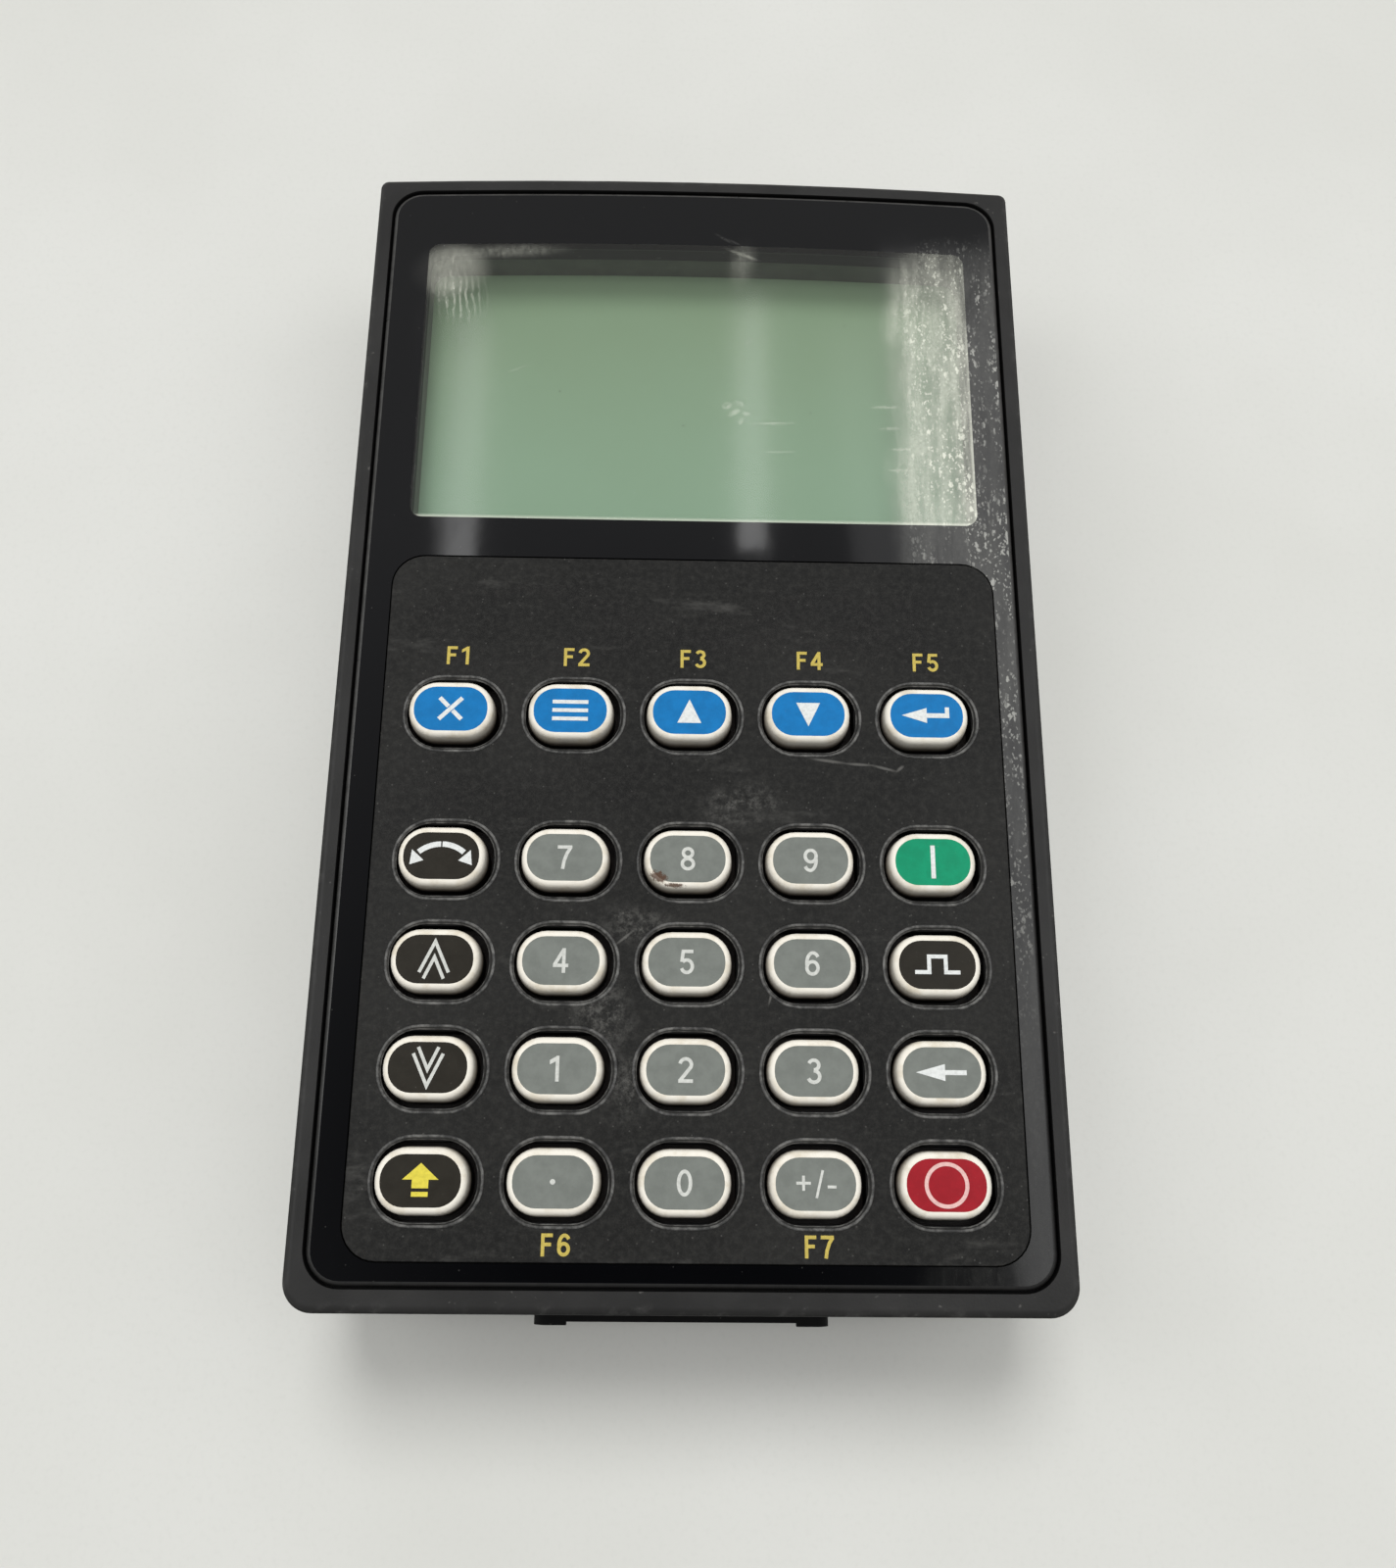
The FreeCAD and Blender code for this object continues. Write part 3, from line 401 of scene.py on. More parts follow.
def makeWindowFinish():
    # clear where it is clean, a pale film where it is scuffed, along the lower and right edges as a painted
    # highlight and in the upper left corner and beside the middle as painted reflections; film and gloss lie
    # on the outer face only
    look = windowLook
    material, bench = newFinish("clearWindow")
    spot = bench.place()
    veil, flecked, lines = scuffMasks(bench, spot)
    x, y = bench.split(spot)[:2]
    outside = 1.0 - bench.add("ShaderNodeNewGeometry", output="Backfacing")
    low, right = windowEdge["low"], windowEdge["right"]
    lowEdgeHighlight = bench.step(y, low + look["lowEdgeHighlight"][0], low + look["lowEdgeHighlight"][1])
    rightEdgeHighlight = bench.step(x, right - look["rightEdgeHighlight"][0], right - look["rightEdgeHighlight"][1])
    # painted highlight along the lower and right edges of the window
    cut = lowEdgeHighlight.larger(rightEdgeHighlight * bench.step(y, *look["rightEdgeHighlightEnd"]) * look["rightHighlightShare"])
    scuffed = veil * look["veil"] + flecked * look["flecked"] + lines * look["lines"]
    film = (scuffed + cut * look["cut"] + look["everywhere"]).smaller(look["most"]) * outside
    clear = bench.add("ShaderNodeBsdfTransparent", None, {"Color": look["clear"]})
    cloudy = bench.add("ShaderNodeBsdfDiffuse", None, {"Color": look["film"]})
    seen = bench.add("ShaderNodeMixShader", None, {0: film, 1: clear, 2: cloudy})
    shine = bench.add("ShaderNodeBsdfGlossy", None, {"Color": look["mirror"], "Roughness": look["rough"]})
    sheen = bench.add("ShaderNodeFresnel", None, {"IOR": look["ior"]}) * outside
    showSurface(bench, bench.add("ShaderNodeMixShader", None, {0: sheen, 1: seen, 2: shine}))
    return material


labelLook = {
    "dark": (0.0062, 0.0062, 0.0057),
    "pale": (0.0125, 0.0123, 0.0113),
    "smear": (0.105, 0.103, 0.095),
    "speckle": (0.036, 0.0352, 0.0318),
    "grit": (0.045, 0.045, 0.043),
    "patches": 0.055, "grain": 6.0, "smears": 0.21, "blots": 0.9, "dust": 0.95, "speckles": 1.3,
    # place, length and width in mm, turn in degrees
    "smudges": [(-8.6, -36.5, 9.0, 13.0, 20), (5.9, -14.5, 13.0, 7.0, 8), (-4.7, -27.7, 12.0, 6.0, -10),
                (-5.8, -44.0, 6.0, 10.0, 0)],
    "scratches": [(14.9, -9.45, 5.0, 0.5, -7), (18.2, -9.8, 4.0, 0.45, -3), (20.9, -10.2, 3.6, 0.45, -14),
                  (22.6, -10.2, 1.4, 0.5, 40), (-6.4, -28.8, 3.0, 0.4, 40), (8.6, -34.6, 2.6, 0.35, 75)],
    "rough": 0.5, "gloss": 0.3,
}


def makeLabelFinish():
    look = labelLook
    material, bench = newFinish("matteLabel")
    spot = bench.place()
    patches = bench.noise(spot, look["patches"], 5.0, 0.62)
    grain = bench.noise(spot, look["grain"], 1.0, 0.5)
    smears = bench.noise(bench.stretched(spot, (0.32, 1.0, 1.0), 28.0), look["smears"], 5.0, 0.7)
    blots = bench.step(bench.noise(spot, look["blots"], 6.0, 0.82), 0.42, 0.66)
    smudged = bench.step(smears, 0.57, 0.78) * 0.65
    for place in look["smudges"]:
        smudged = smudged.larger(patch(bench, spot, *place) * blots * 1.25)
    dust = bench.step(bench.cells(spot, look["dust"]), 0.11, 0.05)
    scored = 0.0
    for place in look["scratches"]:
        scored = patch(bench, spot, *place, core=0.2) + scored
    speckle = bench.step(bench.noise(spot, look["speckles"], 6.0, 0.85), 0.40, 0.74)
    broad = bench.tint(bench.step(patches, 0.35, 0.7), look["dark"], look["pale"])
    body = bench.tint(speckle * 0.6, broad, look["speckle"])
    wiped = bench.tint((smudged * 0.65 + scored * 0.8 + dust * 0.4).smaller(1.0), body, look["smear"])
    colour = bench.tint(bench.step(grain, 0.55, 0.75) * 0.16, wiped, look["grit"])
    rough = look["rough"] + (patches - 0.5) * 0.2 + smudged * 0.14
    plainSurface(bench, colour, rough, bench.bump(grain, 0.25, 0.02), look["gloss"])
    return material


ivoryLook = {
    "clean": (0.77, 0.735, 0.65),
    "aged": (0.63, 0.575, 0.465),
    "paintedSideShade": (0.11, 0.085, 0.06),
    "paintedHoleShade": (0.010, 0.008, 0.007),
    "stain": (0.075, 0.035, 0.018),
    "mottle": 0.5, "grain": 5.0,
    # mm from the label's face: where the painted shade on the cap's sides starts and is full, and where the
    # painted shade in the hole turns dark
    "paintedSideShadeBand": (1.0, -0.35), "paintedHoleShadeBand": (-0.15, -1.1),
    "rough": 0.46, "gloss": 0.4,
}
# brown specks beside the eight: place, length, width, turn
stainSpots = [(-2.95, -22.7, 4.8, 2.6, -24.0), (-1.3, -23.55, 5.6, 1.1, -3.0)]


def stainMask(bench, spot):
    near = patch(bench, spot, *stainSpots[0]).larger(patch(bench, spot, *stainSpots[1]))
    return bench.step(near * 0.55 + bench.noise(spot, 3.8, 5.0, 0.85) * 0.95, 0.80, 0.92)


def makeIvoryFinish():
    look = ivoryLook
    material, bench = newFinish("ivoryRubber")
    spot = bench.place()
    above = bench.split(spot)[2] - labelHigh.z
    mottle = bench.noise(spot, look["mottle"], 4.0, 0.6)
    # painted shade: darker down the cap's sides towards the label, and near black deep in the hole
    low = bench.step(above + (mottle - 0.5) * 0.5, *look["paintedSideShadeBand"])
    deep = bench.step(above, *look["paintedHoleShadeBand"])
    body = bench.tint(bench.step(mottle, 0.42, 0.74), look["clean"], look["aged"])
    shadedBody = bench.tint(deep, bench.tint(low * 0.9, body, look["paintedSideShade"]), look["paintedHoleShade"])
    colour = bench.tint(stainMask(bench, spot) * 0.9, shadedBody, look["stain"])
    rough = look["rough"] + (mottle - 0.5) * 0.25
    relief = bench.bump(bench.noise(spot, look["grain"], 2.0, 0.5), 0.12, 0.03)
    plainSurface(bench, colour, rough, relief, look["gloss"])
    return material


printShades = {
    "blue": (0.0022, 0.150, 0.400),
    "grey": (0.162, 0.175, 0.158),
    "black": (0.0168, 0.0143, 0.0096),
    "green": (0.0010, 0.245, 0.118),
    "red": (0.285, 0.0060, 0.0135),
}
printLook = {
    "rubbed": (0.5, 0.48, 0.42),
    "mottle": 0.7, "wear": 2.6, "grain": 6.0,
    "rough": 0.42, "gloss": 0.3,
}


def makePrintFinish(name, shade):
    look = printLook
    material, bench = newFinish(name + "KeyPrint")
    spot = bench.place()
    mottle = bench.noise(spot, look["mottle"], 4.0, 0.65)
    worn = bench.step(bench.noise(spot, look["wear"], 3.0, 0.7), 0.66, 0.78)
    deeper = tuple(value * 0.90 for value in shade)
    paler = tuple(value * 1.08 + 0.001 for value in shade)
    body = bench.tint(bench.step(mottle, 0.3, 0.7), deeper, paler)
    rubbed = bench.tint(worn * 0.12, body, look["rubbed"])
    colour = bench.tint(stainMask(bench, spot) * 0.92, rubbed, ivoryLook["stain"])
    rough = look["rough"] + (mottle - 0.5) * 0.22
    relief = bench.bump(bench.noise(spot, look["grain"], 2.0, 0.5), 0.1, 0.02)
    plainSurface(bench, colour, rough, relief, look["gloss"])
    return material


inkShades = {
    "white": (0.71, 0.73, 0.71),
    "grey": (0.59, 0.60, 0.56),
    "yellow": (0.69, 0.59, 0.065),
    "ochre": (0.52, 0.41, 0.088),
    "rose": (0.74, 0.47, 0.44),
}
inkLook = {"faded": 0.80, "mottle": 3.0, "rough": 0.45, "gloss": 0.35}


def makeInkFinish(name, shade):
    look = inkLook
    material, bench = newFinish(name + "Ink")
    mottle = bench.noise(bench.place(), look["mottle"], 3.0, 0.65)
    faded = tuple(value * look["faded"] for value in shade)
    colour = bench.tint(bench.step(mottle, 0.3, 0.75), shade, faded)
    plainSurface(bench, colour, look["rough"] + (mottle - 0.5) * 0.2, gloss=look["gloss"])
    return material


# the pale colour is a painted highlight on the embossed beads; on the holes' cut edges it is the film's pale
# core
ringLook = {"dark": (0.035, 0.035, 0.034), "pale": (0.15, 0.148, 0.14), "mottle": 0.9, "rough": 0.38}


def makeRingFinish():
    look = ringLook
    material, bench = newFinish("ringHighlightAndCutCore")
    mottle = bench.noise(bench.place(), look["mottle"], 4.0, 0.65)
    colour = bench.tint(bench.step(mottle, 0.35, 0.72), look["dark"], look["pale"])
    plainSurface(bench, colour, look["rough"] + (mottle - 0.5) * 0.2)
    return material


edgeHighlightLook = {
    "clean": (0.006, 0.006, 0.006), "rubbed": (0.062, 0.061, 0.058),
    "lean": 0.5, "full": 10.0,     # the painted highlight grows along y up to here, and leans with x
    "mottle": 0.6, "rough": 0.3,
}


def makeEdgeFinish():
    # the overlay's rounded edge, with a painted highlight in the rubbed colour, more so towards the display
    look = edgeHighlightLook
    material, bench = newFinish("paintedEdgeHighlight")
    spot = bench.place()
    x, y = bench.split(spot)[:2]
    mottle = bench.noise(spot, look["mottle"], 4.0, 0.7)
    along = bench.step(y - x * look["lean"], overlayLow.y, look["full"], 0.2, 1.0)
    rubbed = along * bench.step(mottle, 0.3, 0.7, 0.6, 1.0)
    colour = bench.tint(rubbed, look["clean"], look["rubbed"])
    plainSurface(bench, colour, look["rough"] + (mottle - 0.5) * 0.2)
    return material


cellLook = {
    "lower": (0.222, 0.328, 0.226),
    "upper": (0.192, 0.268, 0.166),
    "grit": (0.31, 0.40, 0.29),
    "specks": (0.05, 0.06, 0.04),
    "cloud": 0.06, "grain": 4.0, "specksPerMm": 0.22,
    "rough": 0.35, "gloss": 0.3,
}


def makeCellFinish():
    # reflective green display cell, a little yellower towards its upper end
    look = cellLook
    material, bench = newFinish("displayCell")
    spot = bench.place()
    along = bench.step(bench.split(spot)[1], cellLow.y, cellHigh.y)
    cloud = bench.noise(spot, look["cloud"], 3.0, 0.5)
    body = bench.tint(along + (cloud - 0.5) * 0.35, look["lower"], look["upper"])
    grain = bench.noise(spot, look["grain"], 1.0, 0.5)
    gritty = bench.tint(bench.step(grain, 0.45, 0.8) * 0.12, body, look["grit"])
    specks = bench.step(bench.cells(spot, look["specksPerMm"]), 0.045, 0.02)
    colour = bench.tint(specks * 0.6, gritty, look["specks"])
    plainSurface(bench, colour, look["rough"] + (grain - 0.5) * 0.1, gloss=look["gloss"])
    return material


def makeMoulded(name, dark, pale, rough, scale=0.4, relief=0.15, metallic=0.0):
    # moulded, coated or plated piece with mild mottling and grain
    material, bench = newFinish(name)
    spot = bench.place()
    mottle = bench.noise(spot, scale, 4.0, 0.6)
    colour = bench.tint(bench.step(mottle, 0.3, 0.72), dark, pale)
    grain = bench.bump(bench.noise(spot, 6.0 * scale + 2.0, 2.0, 0.5), relief, 0.03)
    plainSurface(bench, colour, rough + (mottle - 0.5) * 0.2, grain, metallic=metallic)
    return material


screwLook = {"dark": (0.36, 0.355, 0.34), "bright": (0.58, 0.575, 0.56), "brushing": 1.6, "rough": 0.3}


def makeScrewFinish():
    look = screwLook
    material, bench = newFinish("screwSteel")
    brushed = bench.noise(bench.stretched(bench.place(), (0.4, 6.0, 1.0)), look["brushing"], 3.0, 0.6)
    colour = bench.tint(bench.step(brushed, 0.3, 0.7), look["dark"], look["bright"])
    rough = look["rough"] + (brushed - 0.5) * 0.25
    plainSurface(bench, colour, rough, bench.bump(brushed, 0.15, 0.02), metallic=1.0)
    return material


tableLook = {
    "dark": (0.585, 0.587, 0.552),
    "pale": (0.62, 0.622, 0.59),
    "grit": (0.53, 0.532, 0.50),
    "cloud": 0.012, "grain": 1.4,
    "rough": 0.6, "gloss": 0.2,
}


def makeTableFinish():
    look = tableLook
    material, bench = newFinish("paleTable")
    spot = bench.place()
    cloud = bench.noise(spot, look["cloud"], 4.0, 0.6)
    grain = bench.noise(spot, look["grain"], 3.0, 0.6)
    body = bench.tint(bench.step(cloud, 0.3, 0.7), look["dark"], look["pale"])
    colour = bench.tint(bench.step(grain, 0.45, 0.8) * 0.25, body, look["grit"])
    plainSurface(bench, colour, look["rough"], bench.bump(grain, 0.08, 0.1), look["gloss"])
    return material


finishes = {
    "bezel": makeBezelFinish(),
    "gloss": makeGlossFinish(),
    "window": makeWindowFinish(),
    "label": makeLabelFinish(),
    "ivory": makeIvoryFinish(),
    "ring": makeRingFinish(),
    "edge": makeEdgeFinish(),
    "cell": makeCellFinish(),
    "screw": makeScrewFinish(),
    "table": makeTableFinish(),
    "bond": makeMoulded("blackBond", (0.004, 0.004, 0.005), (0.008, 0.008, 0.009), 0.5),
    # painted shade: the display holder is given a dark green-grey so that the walls of the display well look
    # shaded
    "pale": makeMoulded("shadedHolderPlastic", (0.075, 0.082, 0.066), (0.11, 0.116, 0.094), 0.5),
    "contact": makeMoulded("contactRubber", (0.10, 0.10, 0.10), (0.16, 0.16, 0.155), 0.7),
    "guide": makeMoulded("lightGuide", (0.62, 0.62, 0.58), (0.72, 0.72, 0.68), 0.25),
    "board": makeMoulded("boardLaminate", (0.012, 0.085, 0.03), (0.02, 0.12, 0.045), 0.4),
    "chip": makeMoulded("chipResin", (0.010, 0.010, 0.010), (0.02, 0.02, 0.02), 0.55),
    "can": makeMoulded("canMetal", (0.5, 0.5, 0.52), (0.65, 0.65, 0.66), 0.32, 0.8, 0.1, 1.0),
    "shell": makeMoulded("shellMetal", (0.45, 0.45, 0.45), (0.62, 0.62, 0.61), 0.28, 0.8, 0.1, 1.0),
    "pin": makeMoulded("pinBrass", (0.60, 0.42, 0.16), (0.74, 0.56, 0.27), 0.28, 0.9, 0.1, 1.0),
}
for shadeName, shade in printShades.items():
    finishes[shadeName] = makePrintFinish(shadeName, shade)
for inkName, ink in inkShades.items():
    finishes[inkName + "Ink"] = makeInkFinish(inkName, ink)
print("finishes made:", len(finishes))


# Carried-over pieces take their finishes by material slot

nodeFinishes = {
    "front_housing": "bezel", "rear_housing": "bezel", "port_body": "bezel", "overlay_mask": "bond",
    "keypad_mat": "contact", "lcd_contact_strips": "contact", "lcd_frame": "pale", "lcd_glass": "cell",
    "backlight_guide": "guide", "backlight_leds": "guide", "main_board": "board", "control_chip": "chip",
    "board_chips": "chip", "board_capacitors": "can", "board_screws": "screw", "port_shell": "shell",
    "port_pins": "pin",
}
for nodeName, finishName in nodeFinishes.items():
    frame["nodes"][nodeName].material_slots[0].material = finishes[finishName]
print("carried-over pieces dressed:", len(nodeFinishes))


# Mesh helpers, in mm until the mesh is finished

def addToScene(name, data):
    item = bpy.data.objects.new(name, data)
    bpy.context.scene.collection.objects.link(item)
    return item


def arcPoints(x, y, reachX, reachY, start, end, count=14):
    turns = [math.radians(start + (end - start) * step / count) for step in range(count + 1)]
    return [(x + reachX * math.cos(turn), y + reachY * math.sin(turn)) for turn in turns]


def roundedLoop(centreX, centreY, halfX, halfY, radius, height, steps=8):
    # anticlockwise from the lower right corner
    points = []
    for start, signX, signY in ((-90, 1, -1), (0, 1, 1), (90, -1, 1), (180, -1, -1)):
        cornerX = centreX + signX * (halfX - radius)
        cornerY = centreY + signY * (halfY - radius)
        points += arcPoints(cornerX, cornerY, radius, radius, start, start + 90, steps)
    return [Vector((x, y, height)) for x, y in points]


def bowedLoop(outline, inset, height, steps=8, bowSteps=24):
    # a rounded rectangle whose top edge is an arc about a far centre
    left, right = outline["left"] + inset, outline["right"] - inset
    bottom = outline["bottom"] + inset
    corner = outline["corner"] - inset
    bow = outline["bowRadius"] - inset
    middle = outline["crown"] - outline["bowRadius"]
    rightY = middle + math.sqrt((bow - corner) ** 2 - (right - corner) ** 2)
    leftY = middle + math.sqrt((bow - corner) ** 2 - (left + corner) ** 2)
    rightTurn = math.degrees(math.atan2(rightY - middle, right - corner))
    leftTurn = math.degrees(math.atan2(leftY - middle, left + corner))
    arcs = [
        (right - corner, bottom + corner, corner, -90, 0, steps),
        (right - corner, rightY, corner, 0, rightTurn, steps),
        (0.0, middle, bow, rightTurn, leftTurn, bowSteps),
        (left + corner, leftY, corner, leftTurn, 180, steps),
        (left + corner, bottom + corner, corner, 180, 270, steps),
    ]
    closest = 1e-4             # the arcs' shared ends are kept once
    points = []
    for centreX, centreY, radius, start, end, count in arcs:
        for x, y in arcPoints(centreX, centreY, radius, radius, start, end, count):
            point = Vector((x, y, height))
            if not points or (point - points[-1]).length > closest:
                points.append(point)
    return points


def addLoop(shape, points):
    return [shape.verts.new(point) for point in points]


def joinLoops(shape, lower, upper, slot=0):
    for index in range(len(lower)):
        following = (index + 1) % len(lower)
        face = shape.faces.new((lower[index], lower[following], upper[following], upper[index]))
        face.material_index = slot
        face.smooth = True


def fillLoops(shape, loops, slot=0):
    # one flat face set bounded by the first loop, with the others as holes
    edges = []
    for loop in loops:
        for index in range(len(loop)):
            pair = (loop[index - 1], loop[index])
            edges.append(shape.edges.get(pair) or shape.edges.new(pair))
    made = bmesh.ops.triangle_fill(shape, use_beauty=True, use_dissolve=False, edges=edges)
    for face in made["geom"]:
        if isinstance(face, bmesh.types.BMFace):
            face.material_index = slot


def finishMesh(name, shape, finishNames, sharpAngle=35.0):
    bmesh.ops.recalc_face_normals(shape, faces=shape.faces)
    bmesh.ops.scale(shape, vec=(mm, mm, mm), verts=shape.verts)
    for edge in shape.edges:
        edge.smooth = edge.calc_face_angle(0.0) < math.radians(sharpAngle)
    mesh = bpy.data.meshes.new(name)
    shape.to_mesh(mesh)
    shape.free()
    for finishName in finishNames:
        mesh.materials.append(finishes[finishName])
    return addToScene(name, mesh)


def addPrism(shape, outlines, low, high, slot):
    # a thin flat piece of ink with upright edges; the first outline is outside, the others are holes
    bottoms = []
    tops = []
    for outline in outlines:
        bottoms.append(addLoop(shape, [Vector((x, y, low)) for x, y in outline]))
        tops.append(addLoop(shape, [Vector((x, y, high)) for x, y in outline]))
        joinLoops(shape, bottoms[-1], tops[-1], slot)
    fillLoops(shape, bottoms, slot)
    fillLoops(shape, tops, slot)


keyCap = {
    "width": 9.2, "height": 6.5, "corner": 3.1,
    "draft": 0.12, "skirt": 0.2,   # how much the cap narrows upwards, from this far below the label's face
    "shoulder": 0.55, "shoulderDrop": 0.7, "shoulderSteps": 6,
    "printWidth": 7.8, "printHeight": 4.95, "printCorner": 2.35,
    "plungerWidth": 5.4, "plungerHeight": 3.4, "plungerCorner": 0.3,
    "flangeThick": 1.0,
    "crown": 0.05, "crownMiddle": 0.0125,      # drop of the domed top at the print's edge and half way in
    "inkProud": 0.02, "inkRoot": 0.07,         # the signs' ink, above the middle and down into the cap
    "inkStep": 0.006,                          # crossing strokes lie one over the other
    "numeral": 2.5, "numeralWeight": 0.14,
}


# Signs on the keys, drawn about 0, 0 in mm

def bar(x1, y1, x2, y2, width):
    along = Vector((x2 - x1, y2 - y1)).normalized() * width / 2
    across = Vector((-along.y, along.x))
    return [(x1 + across.x, y1 + across.y), (x1 - across.x, y1 - across.y),
            (x2 - across.x, y2 - across.y), (x2 + across.x, y2 + across.y)]


def ovalOutline(x, y, reachX, reachY, count=36):
    return arcPoints(x, y, reachX, reachY, 0.0, 360.0 * (count - 1) / count, count - 1)


def stroke(points, width):
    # outline of a line of even width drawn through the points
    left, right = [], []
    for index, (x, y) in enumerate(points):
        ways = []
        if index > 0:
            ways.append(Vector((x - points[index - 1][0], y - points[index - 1][1])).normalized())
        if index < len(points) - 1:
            ways.append(Vector((points[index + 1][0] - x, points[index + 1][1] - y)).normalized())
        along = (ways[0] + ways[-1]).normalized()
        reach = width / 2 / max(0.5, along.dot(ways[0]))
        left.append((x - along.y * reach, y + along.x * reach))
        right.append((x + along.y * reach, y - along.x * reach))
    return left + right[::-1]


def glyphs(weight):
    # plain numerals and a letter, each 1 high about 0, 0: solids made of an outline and any holes
    half = weight / 2
    top = 0.5 - half

    def loop(x, y, reachX, reachY):
        return [ovalOutline(x, y, reachX, reachY), ovalOutline(x, y, reachX - weight, reachY - weight)]

    six = [loop(0, -0.18, 0.295, 0.32), [stroke(arcPoints(0.03, 0.0, 0.325 - half, top, 195, 38), weight)]]
    two = arcPoints(0, 0.21, 0.295 - half, 0.29 - half, 172, -28) + [(-0.21, half - 0.47)]
    stem = -0.26               # left side of the letter
    return {
        "0": [loop(0, 0, 0.3, 0.5)],
        "1": [[[(-0.28, 0.33), (0.0, 0.5), (half + 0.02, 0.5), (half + 0.02, -0.5), (0.02 - half, -0.5),
                (0.02 - half, 0.28), (-0.28, 0.16)]]],
        "2": [[stroke(two, weight)], [bar(-0.29, -top, 0.29, -top, weight)]],
        "3": [[stroke(arcPoints(-0.01, 0.24, 0.27 - half, 0.26 - half, 160, -88), weight)],
              [stroke(arcPoints(-0.01, -0.205, 0.3 - half, 0.295 - half, 92, -160), weight)]],
        "4": [[bar(0.12, -0.5, 0.12, 0.5, weight)], [stroke([(0.1, 0.43), (-0.25, -0.17)], weight)],
              [bar(-0.31, -0.2, 0.31, -0.2, weight)]],
        "5": [[stroke([(0.26, top), (-0.15, top), (-0.2, 0.0)], weight)],
              [stroke(arcPoints(0.0, -0.175, 0.295 - half, 0.325 - half, 138, -160), weight)]],
        "6": six,
        "7": [[bar(-0.3, top, 0.3, top, weight)],
              [stroke([(0.25, top), (0.09, 0.16), (-0.02, -0.16), (-0.07, -0.5)], weight)]],
        "8": [loop(0, 0.245, 0.26, 0.255), loop(0, -0.215, 0.3, 0.285)],
        "9": [[[(-x, -y) for x, y in outline] for outline in solid] for solid in six],
        "F": [[bar(half + stem, -0.5, half + stem, 0.5, weight)],
              [bar(weight + stem, top, 0.27, top, weight)],
              [bar(weight + stem, 0.02, 0.2, 0.02, weight)]],
    }


def placed(solids, x, y, scale=1.0):
    def moved(outline):
        return [(px * scale + x, py * scale + y) for px, py in outline]

    return [[moved(outline) for outline in solid] for solid in solids]


def chevron(apexY, spread, drop, width):
    # an open angle with its apex up, drawn as one mitred stroke
    slope = math.atan2(drop, spread)
    rise = width / math.cos(slope)
    foot = width * math.sin(slope)
    lean = width * math.cos(slope)
    return [(0, apexY), (-spread, apexY - drop), (-spread + foot, apexY - drop - lean),
            (0, apexY - rise), (spread - foot, apexY - drop - lean), (spread, apexY - drop)]


def flip(outlines):
    return [[(x, -y) for x, y in outline] for outline in outlines]


def mirror(outlines):
    return [[(-x, y) for x, y in outline] for outline in outlines]


def curvedArrow():
    # a bent arrow that falls away to the left from the top of a shallow arc
    inner, outer, middle = 3.33, 3.9, -2.4
    start, end, steps = 91.2, 130.2, 10
    band = arcPoints(0.0, middle, outer, outer, start, end, steps)
    band += arcPoints(0.0, middle, inner, inner, end, start, steps)
    head = [(-3.02, 0.62), (-3.2, -0.98), (-1.78, -0.5)]
    return [band], [head]


def plusMinus():
    thick, slant = 0.27, 0.25
    plusX, plusY, gap = -1.2, 0.08, 0.135
    return [bar(plusX - 0.7, plusY, plusX + 0.7, plusY, thick), bar(plusX, plusY + gap, plusX, 0.78, thick),
            bar(plusX, -0.62, plusX, plusY - gap, thick), bar(0.05, -1.3, 0.68, 1.3, slant),
            bar(1.12, -0.25, 1.98, -0.25, thick)]


def crossBars(reach, thick):
    half = thick / 2
    return [bar(-reach, -reach, reach, reach, thick), bar(-reach, reach, -half, half, thick),
            bar(half, -half, reach, -reach, thick)]


